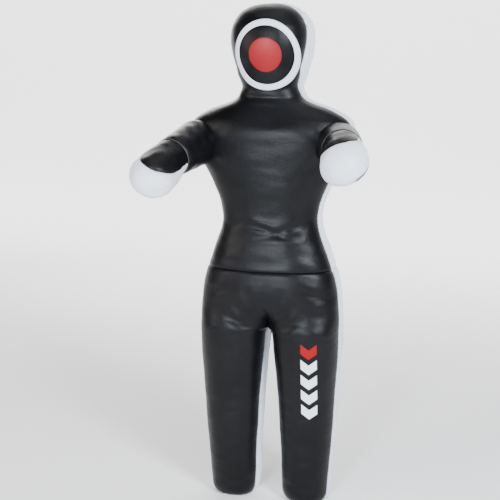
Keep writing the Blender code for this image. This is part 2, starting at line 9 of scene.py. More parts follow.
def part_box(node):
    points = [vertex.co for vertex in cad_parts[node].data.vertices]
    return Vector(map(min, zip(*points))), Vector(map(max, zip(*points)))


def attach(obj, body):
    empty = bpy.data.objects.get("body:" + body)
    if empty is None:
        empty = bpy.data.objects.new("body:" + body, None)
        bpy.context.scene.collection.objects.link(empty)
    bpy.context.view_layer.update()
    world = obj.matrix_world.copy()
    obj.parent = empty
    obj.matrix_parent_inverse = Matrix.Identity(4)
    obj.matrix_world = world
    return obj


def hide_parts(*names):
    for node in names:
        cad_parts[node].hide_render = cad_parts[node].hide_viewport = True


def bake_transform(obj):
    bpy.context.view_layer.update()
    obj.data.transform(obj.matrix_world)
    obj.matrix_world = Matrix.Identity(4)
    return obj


# Grappling dummy: leather covers over stuffing. The front faces -Y and the dummy's own left is +X.
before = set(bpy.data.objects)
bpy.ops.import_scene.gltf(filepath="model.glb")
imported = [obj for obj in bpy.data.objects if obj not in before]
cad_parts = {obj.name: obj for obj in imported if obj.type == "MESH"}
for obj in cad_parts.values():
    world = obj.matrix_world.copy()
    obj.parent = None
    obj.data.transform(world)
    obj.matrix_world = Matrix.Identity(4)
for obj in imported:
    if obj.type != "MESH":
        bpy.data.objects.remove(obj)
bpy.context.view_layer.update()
neckLow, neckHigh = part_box("neck_fill")
axisY = (neckLow.y + neckHigh.y) / 2     # the body's upright axis

# The figure's outline, in metres.
figure = {
    "boxy": 2.4,                          # superellipse power of a body or leg section
    "trunk": (                            # height, half width, half depth
        (0.500, 0.2195, 0.118), (0.610, 0.2190, 0.126), (0.700, 0.2100, 0.126), (0.780, 0.1840, 0.116),
        (0.890, 0.1515, 0.105), (1.000, 0.1830, 0.112), (1.060, 0.2160, 0.1158), (1.110, 0.2390, 0.119),
        (1.150, 0.2470, 0.1195), (1.185, 0.2370, 0.111), (1.215, 0.1860, 0.100), (1.236, 0.1270, 0.092),
        (1.270, 0.0930, 0.088), (1.322, 0.1065, 0.108), (1.375, 0.1205, 0.127), (1.426, 0.1255, 0.132),
        (1.462, 0.1185, 0.126), (1.495, 0.0920, 0.100), (1.512, 0.0560, 0.062), (1.520, 0.0, 0.0)),
    "leg": (                              # height, axis distance from the middle, half width, half depth
        (0.000, 0.1150, 0.0740, 0.0790), (0.080, 0.1155, 0.0785, 0.0830), (0.160, 0.1175, 0.0825, 0.0870),
        (0.240, 0.1180, 0.0880, 0.0925), (0.320, 0.1180, 0.0915, 0.0980), (0.400, 0.1170, 0.0970, 0.1070),
        (0.500, 0.1150, 0.1035, 0.1180), (0.560, 0.1130, 0.1062, 0.1228),
        (0.640, 0.1110, 0.1085, 0.1275), (0.745, 0.1090, 0.1100, 0.1290)),
    "hipSeam": 0.741, "crotch": 0.556, "kneeJoin": 0.370, "neckStart": 1.205, "hoodStart": 1.262,
    "crownStart": 1.448, "top": 1.520,
    "gussetBody": 0.030, "gussetHood": 0.051, "gussetCrown": 0.028, "hoodIn": 0.0048, "gussetLeg": 0.031,
    "footRounding": 0.034, "footTuck": 0.6, "footUnder": 0.0062,
}
# the seam reach in cover sets how far the edge tone spreads: wear on black leather, painted shade on white and red
cover = {"thick": 0.0030, "seamDepth": 0.0046, "seamWidth": 0.0042, "crown": 0.0022, "crownWidth": 0.030,
         "pucker": 0.0008, "puckerPitch": 0.013, "puckerReach": 0.011, "puckerDrift": ((1.7, 0.047), (0.9, 0.0211)),
         "seamWearAndShade": 0.010, "hem": 0.0040, "hemWidth": 0.0045, "fine": 0.0003}


def smooth(low, high, value):
    # S-curve from 0 at low to 1 at high.
    t = np.clip((value - low) / (high - low), 0, 1)
    return t * t * (3 - 2 * t)


def unit(vectors, least=0.0):
    # Vectors of length 1.
    size = np.linalg.norm(vectors, axis=-1, keepdims=True)
    return vectors / (np.maximum(size, least) if least else size)


def through(stations, height):
    # Cubic through the stations, whose slopes come from the neighbours, for an array of heights.
    rows = np.array(stations, float)
    z, values = rows[:, 0], rows[:, 1:]
    slopes = np.gradient(values, z, axis=0)
    slopes[-1] = (values[-1] - values[-2]) / (z[-1] - z[-2])
    height = np.clip(height, z[0], z[-1])
    i = np.clip(np.searchsorted(z, height, side="right") - 1, 0, len(z) - 2)
    gap = (z[i + 1] - z[i])[..., None]
    t = (height - z[i])[..., None] / gap
    return (values[i] * (2 * t**3 - 3 * t**2 + 1) + slopes[i] * gap * (t**3 - 2 * t**2 + t)
            + values[i + 1] * (3 * t**2 - 2 * t**3) + slopes[i + 1] * gap * (t**3 - t**2))


trunkSquared = [(z, a * a, b * b) for z, a, b in figure["trunk"]]


def trunkHalf(height):
    # Half width and half depth: the root of a cubic through their squares, so that the crown closes round.
    both = np.sqrt(np.maximum(through(trunkSquared, np.asarray(height, float)), 1e-12))
    return both[..., 0], both[..., 1]


def oval(halfX, halfY, turn, power=figure["boxy"]):
    # Superellipse: a half size times sine or cosine raised to 2 / power, from the front by +X.
    s, c = np.sin(turn), np.cos(turn)
    return (halfX * np.sign(s) * np.abs(s) ** (2 / power), -halfY * np.sign(c) * np.abs(c) ** (2 / power))


def ovalWay(x, y, halfX, halfY):
    # Outward direction: coordinate over half size, raised to the power less one, over the half size.
    power = figure["boxy"] - 1
    way = [np.sign(a) * np.abs(a / half) ** power / half for a, half in ((x, halfX), (y, halfY))]
    return unit(np.stack(way + [0 * x], -1), 1e-9)


def gussetTurn(halfY, half):
    # Turn at which the section's depth is the gusset's half width.
    return np.arccos(np.clip(half / halfY, 0, 1) ** (figure["boxy"] / 2))


def edged(count, crowd=0.75):
    # Numbers from 0 to 1 that lie closer together towards both ends: a line mixed with half a cosine wave.
    t = np.linspace(0, 1, count + 1)
    return t * (1 - crowd) + crowd * (1 - np.cos(pi * t)) / 2


def ripple(points, size, seed, stretch=(1, 1, 1), waves=9, spread=(0.6, 1.5), level=0.8):
    # Even random relief between about -1 and 1: a sum of sine waves with seeded directions and phases.
    rng = np.random.default_rng(seed)
    way = rng.normal(size=(waves, 3))
    way /= np.linalg.norm(way, axis=1, keepdims=True)
    way *= rng.uniform(*spread, (waves, 1)) * 2 * pi / size * np.array(stretch)
    shift = rng.uniform(0, 2 * pi, waves)
    return np.sin(points @ way.T + shift).sum(-1) / sqrt(waves) * level


foldShape = {"taper": 0.12, "roll": 0.45, "rollAt": 1.9, "rollWide": 0.9}


def foldDepth(x, z, folds):
    # Each fold is a groove along a line: a bell curve of the distance, with a low roll on both sides.
    depth = np.zeros_like(x)
    for x0, z0, x1, z1, deep, wide in folds:
        ax, az = x1 - x0, z1 - z0
        t = np.clip(((x - x0) * ax + (z - z0) * az) / (ax * ax + az * az), 0, 1)
        gone = np.hypot(x - x0 - t * ax, z - z0 - t * az) / wide
        taper = np.sin(pi * (foldShape["taper"] + (1 - 2 * foldShape["taper"]) * t))
        roll = foldShape["roll"] * np.exp(-((gone - foldShape["rollAt"]) / foldShape["rollWide"]) ** 2)
        depth += deep * taper * (np.exp(-gone**2) - roll)
    return depth


def gridNormals(points, centre, wrap=False):
    # Cross product of the grid's two directions, turned away from the centre.
    if wrap:
        across = np.roll(points, -1, 1) - np.roll(points, 1, 1)
    else:
        across = np.gradient(points, axis=1)
    normal = np.cross(across, np.gradient(points, axis=0))
    size = np.linalg.norm(normal, axis=-1, keepdims=True)
    away = points - centre
    if (normal * away).sum() < 0:
        normal = -normal
    return np.where(size > 1e-10, normal / np.maximum(size, 1e-12), unit(away, 1e-9))


def seamGap(points, seams, wrap=False):
    # Distance along each row to the nearest of the seam columns.
    step = np.linalg.norm(np.diff(points, axis=1, append=points[:, :1] if wrap else None), axis=-1) if wrap \
        else np.linalg.norm(np.diff(points, axis=1), axis=-1)
    run = np.concatenate([np.zeros((len(points), 1)), np.cumsum(step, axis=1)], axis=1)
    whole = run[:, -1:]
    run = run[:, :points.shape[1]]
    gaps = np.abs(run[:, :, None] - run[:, seams][:, None, :])
    if wrap:
        gaps = np.minimum(gaps, whole[:, :, None] - gaps)
    return gaps.min(-1)


def sewnRelief(gap, run):
    # Height over the plain surface near a seam: it dips into the seam, crowns beyond it and puckers along it.
    dip = -cover["seamDepth"] * np.exp(-gap / cover["seamWidth"])
    crown = cover["crown"] * (1 - np.exp(-gap / cover["crownWidth"]))
    (longSwing, longRun), (shortSwing, shortRun) = cover["puckerDrift"]
    wave = np.sin(2 * pi * run / cover["puckerPitch"] + longSwing * np.sin(run / longRun)
                  + shortSwing * np.sin(run / shortRun))
    return dip + crown + cover["pucker"] * wave * np.exp(-gap / cover["puckerReach"])


# Shader sockets that can be added and multiplied like numbers.
class Flow:
    # A shader socket that adds its own Math nodes when it stands in an expression.
    def __init__(self, tree, socket=None):
        self.tree, self.socket = tree, socket

    def make(self, kind, values=None, output=0, stops=None, **settings):
        made = self.tree.nodes.new(kind)
        for name, value in settings.items():
            setattr(made, name, value)
        if stops:
            while len(made.color_ramp.elements) < len(stops):
                made.color_ramp.elements.new(0.5)
            for element, (place, colour) in zip(made.color_ramp.elements, stops):
                element.position, element.color = place, (*colour, 1)
        for key, value in (values or {}).items():
            if isinstance(value, Flow):
                self.tree.links.new(value.socket, made.inputs[key])
            else:
                made.inputs[key].default_value = value
        return Flow(self.tree, made.outputs[output])

    def math(self, operation, *values, clamp=False):
        return self.make("ShaderNodeMath", dict(enumerate(values)), operation=operation, use_clamp=clamp)

    def mix(self, one, two):
        # Colour that goes from one to two as this value goes from 0 to 1.
        return self.make("ShaderNodeMix", {0: self, 6: one, 7: two}, output=2, data_type="RGBA")

    def within(self, low, high):
        return self.make("ShaderNodeMapRange", {0: self, 1: low, 2: high, 3: 0.0, 4: 1.0},
                         interpolation_type="SMOOTHSTEP")


def operatorOf(operation, swapped):
    # A method that adds one Math node for a Python operator.
    def apply(self, other):
        return self.math(operation, other, self) if swapped else self.math(operation, self, other)
    return apply


for sign, operation in (("add", "ADD"), ("sub", "SUBTRACT"), ("mul", "MULTIPLY"), ("truediv", "DIVIDE"),
                        ("pow", "POWER")):
    setattr(Flow, "__" + sign + "__", operatorOf(operation, False))
    setattr(Flow, "__r" + sign + "__", operatorOf(operation, True))


def newMaterial(name, **plain):
    # A Principled material whose constants are set on the shader's own sockets.
    made = bpy.data.materials.new(name)
    made.use_nodes = True
    shader = made.node_tree.nodes["Principled BSDF"]
    for key, value in plain.items():
        shader.inputs[key.replace("_", " ")].default_value = value
    return made, shader, Flow(made.node_tree)


def plug(flow, shader, socket, value):
    flow.tree.links.new(value.socket, shader.inputs[socket])


def plugBump(flow, shader, strength, distance, height):
    plug(flow, shader, "Normal",
         flow.make("ShaderNodeBump", {"Strength": strength, "Distance": distance, "Height": height}))


# edge is the tone along seams and patch rims: brown wear on black, painted shade (grey on white, darker red on red)
leatherLook = {
    "black": {"deep": (0.0016, 0.0016, 0.0021, 1), "worn": (0.0036, 0.0038, 0.0050, 1),
              "edge": (0.012, 0.0072, 0.0050, 1), "rough": 0.30, "spread": 0.12, "coat": 0.0, "shine": 0.17},
    "white": {"deep": (0.66, 0.70, 0.80, 1), "worn": (0.80, 0.83, 0.90, 1), "edge": (0.42, 0.43, 0.47, 1),
              "rough": 0.40, "spread": 0.14, "coat": 0.06, "shine": 0.5},
    "red": {"deep": (0.19, 0.0, 0.0016, 1), "worn": (0.25, 0.0, 0.0024, 1), "edge": (0.12, 0.0, 0.0012, 1),
            "rough": 0.36, "spread": 0.14, "coat": 0.04, "shine": 0.3},
}
# the piping's light grey leather is a painted highlight along the elbow seam's edge
leatherLook["piping"] = dict(leatherLook["black"], deep=(0.030, 0.028, 0.026, 1), worn=(0.060, 0.056, 0.052, 1),
                             rough=0.34, shine=0.32)
grain = {"pebble": 520.0, "pore": 1500.0, "crease": 42.0, "cloud": 7.0, "height": 0.0006, "strength": 0.55}
marking = {"left": 0.1165, "right": 0.1640, "low": 0.288, "white": 4.0, "bars": 5.0, "soft": 0.0008,
           "front": 0.115, "pitch": 0.0484, "lean": 0.75, "fill": 0.62, "fade": 0.03,
           "whiteTone": (0.80, 0.83, 0.88, 1), "redTone": (0.26, 0.0, 0.0025, 1)}


def leather(name, tone, marked=False):
    # Pebbled leather: cells for the grain, pores between them, long soft creases, cloudy colour, and an edge tone
    # along seams and rims: worn brown on black leather, painted shade on white and red.
    look = leatherLook[tone]
    made, shader, flow = newMaterial(name, Roughness=look["rough"], Specular_IOR_Level=look["shine"],
                                     Coat_Roughness=0.30, Coat_Weight=look["coat"])
    place = flow.make("ShaderNodeAttribute", attribute_name="restPlace", output=1)
    near = flow.make("ShaderNodeAttribute", attribute_name="seamWearAndShadeNear", output=2)
    pebble = flow.make("ShaderNodeTexVoronoi", {"Vector": place, "Scale": grain["pebble"]})
    pore = flow.make("ShaderNodeTexNoise", {"Vector": place, "Scale": grain["pore"], "Detail": 2.0})
    crease = flow.make("ShaderNodeTexNoise", {"Vector": place, "Scale": grain["crease"], "Detail": 5.0,
                                              "Roughness": 0.6, "Distortion": 0.6})
    cloud = flow.make("ShaderNodeTexNoise", {"Vector": place, "Scale": grain["cloud"], "Detail": 4.0})
    vein = 1 - (crease - 0.5).math("ABSOLUTE", crease - 0.5) * 9.0
    vein = vein.math("MAXIMUM", vein, 0.0) ** 2.0
    tint = (cloud.within(0.30, 0.75) * 0.75 + pore * 0.25).mix(look["deep"], look["worn"])
    # edge tone near seams: real wear on black, painted shade on white and red where the seam grooves lie in shade
    tint = (near * cloud.within(0.35, 0.70) * 0.75).mix(tint, look["edge"])
    if marked:
        split = place.make("ShaderNodeSeparateXYZ", {0: place})
        across, deep, high = (Flow(flow.tree, split.socket.node.outputs[i]) for i in range(3))
        soft = marking["soft"]
        side = across.within(marking["left"] - soft, marking["left"] + soft) \
            * (1 - across.within(marking["right"] - soft, marking["right"] + soft)) \
            * (1 - deep.within(marking["front"] - 0.010, marking["front"]))
        middle = across - (marking["left"] + marking["right"]) / 2
        stripe = (high - middle.math("ABSOLUTE", middle) * marking["lean"] - marking["low"]) / marking["pitch"]
        edge, fade = stripe.math("FRACT", stripe), marking["fade"]
        side = side * edge.within(0.0, fade) * (1 - edge.within(marking["fill"], marking["fill"] + fade))
        last = stripe.within(marking["white"] - fade, marking["white"])
        whiteBar = side * stripe.within(-fade, 0.0) * (1 - last)
        redBar = side * last \
            * (1 - stripe.within(marking["bars"] - fade, marking["bars"]))
        tint = whiteBar.mix(redBar.mix(tint, marking["redTone"]), marking["whiteTone"])
    plug(flow, shader, "Base Color", tint)
    plug(flow, shader, "Roughness", look["rough"] - 0.06 + cloud * look["spread"] + pebble * 0.12 + near * 0.10)
    height = pebble * -0.55 + pore * 0.20 + crease * 0.9 - vein * 0.35
    plugBump(flow, shader, grain["strength"], grain["height"], height)
    return made


def metal(name, colour=(0.34, 0.33, 0.31, 1), rough=0.32):
    # Zip metal: fine brushed streaks and small dull spots.
    made, shader, flow = newMaterial(name, Metallic=1.0)
    place = flow.make("ShaderNodeTexCoord", output=3)
    streak = flow.make("ShaderNodeTexNoise", {"Vector": place, "Scale": 900.0, "Detail": 3.0})
    spot = flow.make("ShaderNodeTexNoise", {"Vector": place, "Scale": 160.0, "Detail": 2.0})
    dull = spot.within(0.45, 0.75)
    plug(flow, shader, "Base Color", dull.mix(colour, tuple(c * 0.55 for c in colour[:3]) + (1,)))
    plug(flow, shader, "Roughness", rough - 0.05 + streak * 0.14 + dull * 0.18)
    plugBump(flow, shader, 0.3, 0.0001, streak)
    return made


def woven(name, dark=(0.012, 0.012, 0.013, 1), light=(0.035, 0.035, 0.038, 1)):
    # Zip tape and thread: two crossed sets of waves over and under each other.
    made, shader, flow = newMaterial(name, Roughness=0.85)
    place = flow.make("ShaderNodeTexCoord", output=3)
    warp = flow.make("ShaderNodeTexWave", {"Vector": place, "Scale": 260.0}, bands_direction="X")
    weft = flow.make("ShaderNodeTexWave", {"Vector": place, "Scale": 260.0}, bands_direction="Z")
    lifted = warp * weft
    plug(flow, shader, "Base Color", lifted.mix(dark, light))
    plug(flow, shader, "Roughness", 0.75 + lifted * 0.2)
    plugBump(flow, shader, 0.6, 0.0003, lifted)
    return made


def rubber(name):
    # Sole: black coarse-grained sheet, scuffed grey where it has rubbed on the floor.
    made, shader, flow = newMaterial(name, Roughness=0.7)
    place = flow.make("ShaderNodeTexCoord", output=3)
    grit = flow.make("ShaderNodeTexNoise", {"Vector": place, "Scale": 700.0, "Detail": 3.0})
    scuff = flow.make("ShaderNodeTexNoise", {"Vector": place, "Scale": 38.0, "Detail": 5.0}).within(0.52, 0.72)
    plug(flow, shader, "Base Color", scuff.mix((0.012, 0.012, 0.013, 1), (0.060, 0.058, 0.055, 1)))
    plug(flow, shader, "Roughness", 0.60 + grit * 0.2 + scuff * 0.12)
    plugBump(flow, shader, 0.5, 0.0003, grit)
    return made


blackLeather = leather("blackLeather", "black")
markedLeather = leather("blackLeatherWithBars", "black", marked=True)
whiteLeather = leather("whiteLeather", "white")
redLeather = leather("redLeather", "red")
zipMetal = metal("zipMetal")
zipCloth = woven("zipTapeWeave")
paleThread = woven("paleThread", (0.50, 0.51, 0.54, 1), (0.72, 0.73, 0.76, 1))
pipingPaintedHighlight = leather("pipingPaintedHighlight", "piping")
redThread = woven("redThread", (0.20, 0.001, 0.004, 1), (0.30, 0.004, 0.008, 1))
soleRubber = rubber("soleRubber")
print("materials are ready")


# From a grid of points to a finished piece.
def quadsOf(rows, cols, wrap):
    index = np.arange(rows * cols).reshape(rows, cols)
    if wrap:
        index = np.concatenate([index, index[:, :1]], axis=1)
    faces = np.stack([index[:-1, :-1], index[:-1, 1:], index[1:, 1:], index[1:, :-1]], -1).reshape(-1, 4)
    return index, faces


def meshFrom(name, points, faces, materials, near=None, joined=None, smoothAngle=55):
    # Mesh with its doubles merged, its faces turned outwards, and its rest place kept for the materials.
    mesh = bpy.data.meshes.new(name)
    mesh.from_pydata(points.tolist(), [], faces.tolist())
    place = mesh.attributes.new("restPlace", "FLOAT_VECTOR", "POINT")
    place.data.foreach_set("vector", points.astype(np.float32).ravel())
    # seam mask for the edge tone: wear on black leather, painted shade on white and red
    worn = mesh.attributes.new("seamWearAndShadeNear", "FLOAT", "POINT")
    worn.data.foreach_set("value", (np.zeros(len(points)) if near is None else near).astype(np.float32))
    held = mesh.attributes.new("joinNormal", "FLOAT_VECTOR", "POINT")
    joined = np.zeros((len(points), 3)) if joined is None else joined
    held.data.foreach_set("vector", joined.astype(np.float32).ravel())
    bm = bmesh.new()
    bm.from_mesh(mesh)
    bmesh.ops.remove_doubles(bm, verts=bm.verts, dist=2e-6)
    bmesh.ops.dissolve_degenerate(bm, edges=bm.edges, dist=1e-7)
    bmesh.ops.delete(bm, geom=[e for e in bm.edges if e.is_wire], context="EDGES")
    bmesh.ops.recalc_face_normals(bm, faces=bm.faces)
    bm.to_mesh(mesh)
    bm.free()
    mesh.shade_smooth()
    mesh.set_sharp_from_angle(angle=radians(smoothAngle))
    for material in materials:
        mesh.materials.append(material)
    normals = np.zeros(len(mesh.vertices) * 3, np.float32)
    mesh.attributes["joinNormal"].data.foreach_get("vector", normals)
    if np.abs(normals).sum() > 0:
        mesh.normals_split_custom_set_from_vertices(normals.reshape(-1, 3).tolist())
    mesh.attributes.remove(mesh.attributes["joinNormal"])
    made = bpy.data.objects.new(name, mesh)
    bpy.context.scene.collection.objects.link(made)
    return made


def coverPiece(name, outer, centre, material, near=None, wrap=False, joined=None, thick=None):
    # Closed leather sheet: the grid, the same grid moved in by the thickness, and rims between their borders.
    thick = thick or cover["thick"]
    rows, cols = outer.shape[:2]
    inner = outer - gridNormals(outer, centre, wrap) * thick
    index, faces = quadsOf(rows, cols, wrap)
    far = rows * cols
    borders = [index[0], index[-1][::-1]]
    if not wrap:
        borders += [index[:, 0][::-1], index[:, -1]]
    rims = [np.stack([b[:-1], b[1:], b[1:] + far, b[:-1] + far], -1) for b in borders]
    points = np.concatenate([outer.reshape(-1, 3), inner.reshape(-1, 3)])
    faces = np.concatenate([faces, faces[:, ::-1] + far] + rims)
    near = np.zeros(far) if near is None else near.reshape(-1)
    joined = np.zeros((far, 3)) if joined is None else joined.reshape(-1, 3)
    return meshFrom(name, points, faces, [material], np.concatenate([near, near]),
                    np.concatenate([joined, np.zeros((far, 3))]))


def finishPiece(piece, body, replaces=()):
    # body is one name, or (body, body, start, end) for a cover across a joint, which is only baked in place.
    if isinstance(body, str):
        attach(piece, body)
    else:
        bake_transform(piece)
    if replaces:
        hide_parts(*replaces)
    return piece


def tubeAlong(name, line, radius, material, sides=8):
    # Cord along a closed line of points: circles square to the line.
    along = unit(np.roll(line, -1, 0) - np.roll(line, 1, 0))
    first = unit(np.cross(along, line - line.mean(0)))
    second = np.cross(along, first)
    turn = np.linspace(0, 2 * pi, sides, endpoint=False)
    ring = np.cos(turn)[None, :, None] * first[:, None] + np.sin(turn)[None, :, None] * second[:, None]
    points = line[:, None] + radius * ring
    points = np.concatenate([points, points[:1]])
    return meshFrom(name, points.reshape(-1, 3), quadsOf(len(points), sides, True)[1], [material])


def stitchRow(name, line, outward, length, radius, material):
    # Thread stitches along a closed line: each is a short arched spindle whose two ends dip into the leather.
    step = np.linalg.norm(np.roll(line, -1, 0) - line, axis=1)
    run = np.concatenate([[0], np.cumsum(step)])
    count = int(run[-1] / length)
    middle = (np.arange(count) + 0.5) * run[-1] / count
    share = np.linspace(-0.5, 0.5, 7)
    place = (middle[:, None] + share[None] * run[-1] / count * 0.72) % run[-1]
    points = np.stack([np.interp(place, run, np.append(line[:, i], line[0, i])) for i in range(3)], -1)
    up = np.stack([np.interp(place, run, np.append(outward[:, i], outward[0, i])) for i in range(3)], -1)
    up = unit(up)
    points = points + up * (radius * (0.9 - 8.0 * share[None, :, None] ** 2 * 0.8))
    along = unit(np.gradient(points, axis=1))
    side = np.cross(along, up)
    turn = np.linspace(0, 2 * pi, 6, endpoint=False)[None, None, :, None]
    fat = radius * np.sqrt(np.clip(1 - (share * 2) ** 2, 0, 1))[None, :, None, None]
    ring = points[:, :, None] + fat * (np.cos(turn) * up[:, :, None] + np.sin(turn) * side[:, :, None])
    _, one = quadsOf(7, 6, True)
    faces = (one[None] + (np.arange(count) * 42)[:, None, None]).reshape(-1, 4)
    return meshFrom(name, ring.reshape(-1, 3), faces, [material])


# Body covers, from the hip seam to the shoulders.
bodyShape = {"front": 64, "gusset": 10, "wrinkle": 0.0008, "wrinkleSize": 0.15,
             "zipLow": 0.925, "zipHigh": 1.100, "zipSlot": 0.0078, "waist": (0.815, 0.925)}
bodyFolds = (   # x, height, x, height, depth, width
    (-0.060, 0.886, 0.052, 0.852, 0.0034, 0.0085), (0.095, 0.880, 0.020, 0.853, 0.0026, 0.0080),
    (-0.020, 0.846, 0.100, 0.846, 0.0026, 0.0085), (-0.120, 0.868, -0.060, 0.885, 0.0014, 0.0100),
    (-0.020, 0.905, 0.060, 0.902, 0.0010, 0.0110), (-0.160, 0.790, -0.080, 0.812, 0.0013, 0.0120),
    (0.090, 0.800, 0.165, 0.782, 0.0013, 0.0120), (-0.045, 0.765, 0.050, 0.760, 0.0012, 0.0140),
    (0.120, 1.040, 0.160, 1.075, 0.0022, 0.0130), (-0.120, 1.040, -0.160, 1.075, 0.0022, 0.0130),
    (0.110, 1.165, 0.160, 1.130, 0.0016, 0.0120), (-0.110, 1.165, -0.160, 1.130, 0.0016, 0.0120),
    (-0.070, 1.252, 0.075, 1.247, 0.0026, 0.0075),
)


def gussetHalf(height):
    # The side strip widens from the chest to the ears and narrows again towards the crown.
    wide = figure["gussetBody"] + (figure["gussetHood"] - figure["gussetBody"]) * smooth(1.250, 1.345, height)
    return wide - 0.30 * (figure["gussetHood"] - figure["gussetCrown"]) * smooth(1.385, 1.470, height)


def trunkTurns(height, front, gusset):
    # Turn of every column of a ring: front, left strip, left back, right back, right strip.
    _, halfY = trunkHalf(height)
    edge = gussetTurn(halfY, gussetHalf(height))[:, None]
    u, w = edged(front)[None], edged(gusset, 0.5)[None]
    half = edged(front // 2)[None]
    parts = [(2 * u - 1) * edge, edge + w * (pi - 2 * edge), pi - edge + half * edge, pi + half * edge,
             pi + edge + w * (pi - 2 * edge)]
    turn = np.concatenate([p[:, :-1] for p in parts], axis=1)
    sizes = np.cumsum([0] + [p.shape[1] - 1 for p in parts])
    return turn, sizes


def trunkGrid(heights, front, gusset):
    turn, seams = trunkTurns(heights, front, gusset)
    halfX, halfY = (h[:, None] for h in trunkHalf(heights))
    x, y = oval(halfX, halfY, turn)
    z = np.broadcast_to(heights[:, None], x.shape)
    return np.stack([x, y + axisY, z], -1), ovalWay(x, y, halfX, halfY), seams


def trunkRelief(points, way, gap, run):
    # Sewn edges, belly folds on the front, loose wrinkles, and leather drawn in where the sleeves are sewn on.
    x, y, z = points[..., 0], points[..., 1], points[..., 2]
    frontness = smooth(0.0, 0.7, -way[..., 1])
    relief = sewnRelief(gap, run)
    relief -= foldDepth(x, z, bodyFolds) * frontness
    relief -= foldDepth(-x, z, bodyFolds) * 0.7 * smooth(0.0, 0.7, way[..., 1])
    relief += bodyShape["wrinkle"] * ripple(points, bodyShape["wrinkleSize"], 4, (1, 1, 1.6))
    relief += cover["fine"] * ripple(points, 0.045, 9, (0.7, 1, 1.5))
    return relief - cover["hem"] * np.exp(-np.abs(z - figure["hipSeam"]) / cover["hemWidth"])


torsoHeights = np.concatenate([figure["hipSeam"] + 0.0002 + 0.02 * edged(8, 0.6)[:-1],
                               np.linspace(figure["hipSeam"] + 0.0202, 1.300, 116)])
base, way, seams = trunkGrid(torsoHeights, bodyShape["front"], bodyShape["gusset"])
gap = seamGap(base, seams[:-1], wrap=True)
points = base + way * trunkRelief(base, way, gap, base[..., 2])[..., None]
axisLine = np.stack([0 * torsoHeights, 0 * torsoHeights + axisY, torsoHeights], -1)[:, None]
normals = gridNormals(points, axisLine, wrap=True)
# seam mask of the torso and neck: wear on the black panels, painted shade on the white side strips
seamWearAndShade = np.exp(-gap / cover["seamWearAndShade"])
print("body grid", points.shape)


def pick(grid, rows, cols):
    # Rows and wrapped columns of a ring grid, both ends included.
    return grid[rows[0]:rows[1] + 1][:, np.arange(cols[0], cols[1] + 1) % grid.shape[1]]


def trunkPiece(name, rows, part, material, body, replaces, opening=None):
    spans = [(seams[i], seams[i + 1]) for i in range(5)]
    cols = spans[part]
    held = np.zeros_like(points)
    for row in rows:
        if 0 < row < len(torsoHeights) - 1:
            held[row] = normals[row]
    outer = pick(points, rows, cols).copy()
    if opening is not None:
        outer = opening(outer)
    piece = coverPiece(name, outer, axisLine[rows[0]:rows[1] + 1], material, pick(seamWearAndShade, rows, cols),
                       joined=pick(held, rows, cols))
    return finishPiece(piece, body, replaces)


def zipOpening(outer):
    # The two back panels part round the zip: columns near the middle seam are moved sideways.
    z = outer[..., 2]
    room = bodyShape["zipSlot"] * smooth(bodyShape["zipLow"] - 0.012, bodyShape["zipLow"] + 0.004, z) \
        * (1 - smooth(bodyShape["zipHigh"] - 0.004, bodyShape["zipHigh"] + 0.012, z))
    side = 1.0 if outer[..., 0].mean() > 0 else -1.0
    outer[..., 0] += side * room * np.exp(-np.abs(outer[..., 0]) / 0.03)
    return outer


def rowAt(heights, height):
    return int(np.argmin(np.abs(heights - height)))


neckRow = rowAt(torsoHeights, figure["neckStart"])
hoodRow = rowAt(torsoHeights, figure["hoodStart"])
waistBend = ("pelvis", "chest", (0, axisY, bodyShape["waist"][0]), (0, axisY, bodyShape["waist"][1]))
neckBend = ("chest", "neck", (0, axisY, float(torsoHeights[neckRow])), (0, axisY, float(torsoHeights[hoodRow])))
trunkParts = (      # name, material, torso nodes, neck nodes
    ("front", blackLeather, ("pelvis_front_panel", "chest_front_panel", "pelvis_fill", "chest_fill"), ("neck_fill",)),
    ("gusset_left", whiteLeather, ("pelvis_gusset_left", "chest_gusset_left"), ()),
    ("back_left", blackLeather, ("pelvis_back_panel", "chest_back_panel_left"), ()),
    ("back_right", blackLeather, ("chest_back_panel_right",), ()),
    ("gusset_right", whiteLeather, ("pelvis_gusset_right", "chest_gusset_right"), ()),
)
for part, (name, material, nodes, _) in enumerate(trunkParts):
    opening = zipOpening if name.startswith("back") else None
    trunkPiece("torso_" + name, (0, neckRow), part, material, waistBend, nodes, opening)
for part, (name, material, _, nodes) in enumerate(trunkParts):
    trunkPiece("neck_" + name, (neckRow, hoodRow), part, material, neckBend, nodes)
print("torso and neck covers are sewn")

# Hood over the head.
hoodShape = {"capRows": 26, "dome": 0.0050, "domeSize": (0.07, 0.08), "lean": 0.0055, "turnLength": 0.05,
             "soft": 0.0007, "softSize": 0.10, "fineSize": 0.035}
neckTurn = ("neck", "head", (0, axisY, figure["hoodStart"]),
            (0, axisY, figure["hoodStart"] + hoodShape["turnLength"]))
target = {"middle": 0.0065, "height": 1.3725, "outer": (0.0945, 0.0995), "inner": (0.0800, 0.0815),
          "centre": (0.0480, 0.0485), "lift": 0.0012, "thick": 0.0020, "round": 0.0012,
          "margin": 0.0026, "stitch": 0.0044, "thread": 0.00042}


def crownHeight(x, y):
    # Height of the crown over a footprint point, found by halving: where the section just reaches that point.
    low, high = np.full(x.shape, figure["crownStart"] - 0.03), np.full(x.shape, figure["top"])
    for _ in range(42):
        middle = (low + high) / 2
        halfX, halfY = trunkHalf(middle)
        inside = np.abs(x / halfX) ** figure["boxy"] + np.abs(y / halfY) ** figure["boxy"] < 1
        low, high = np.where(inside, middle, low), np.where(inside, high, middle)
    return (low + high) / 2


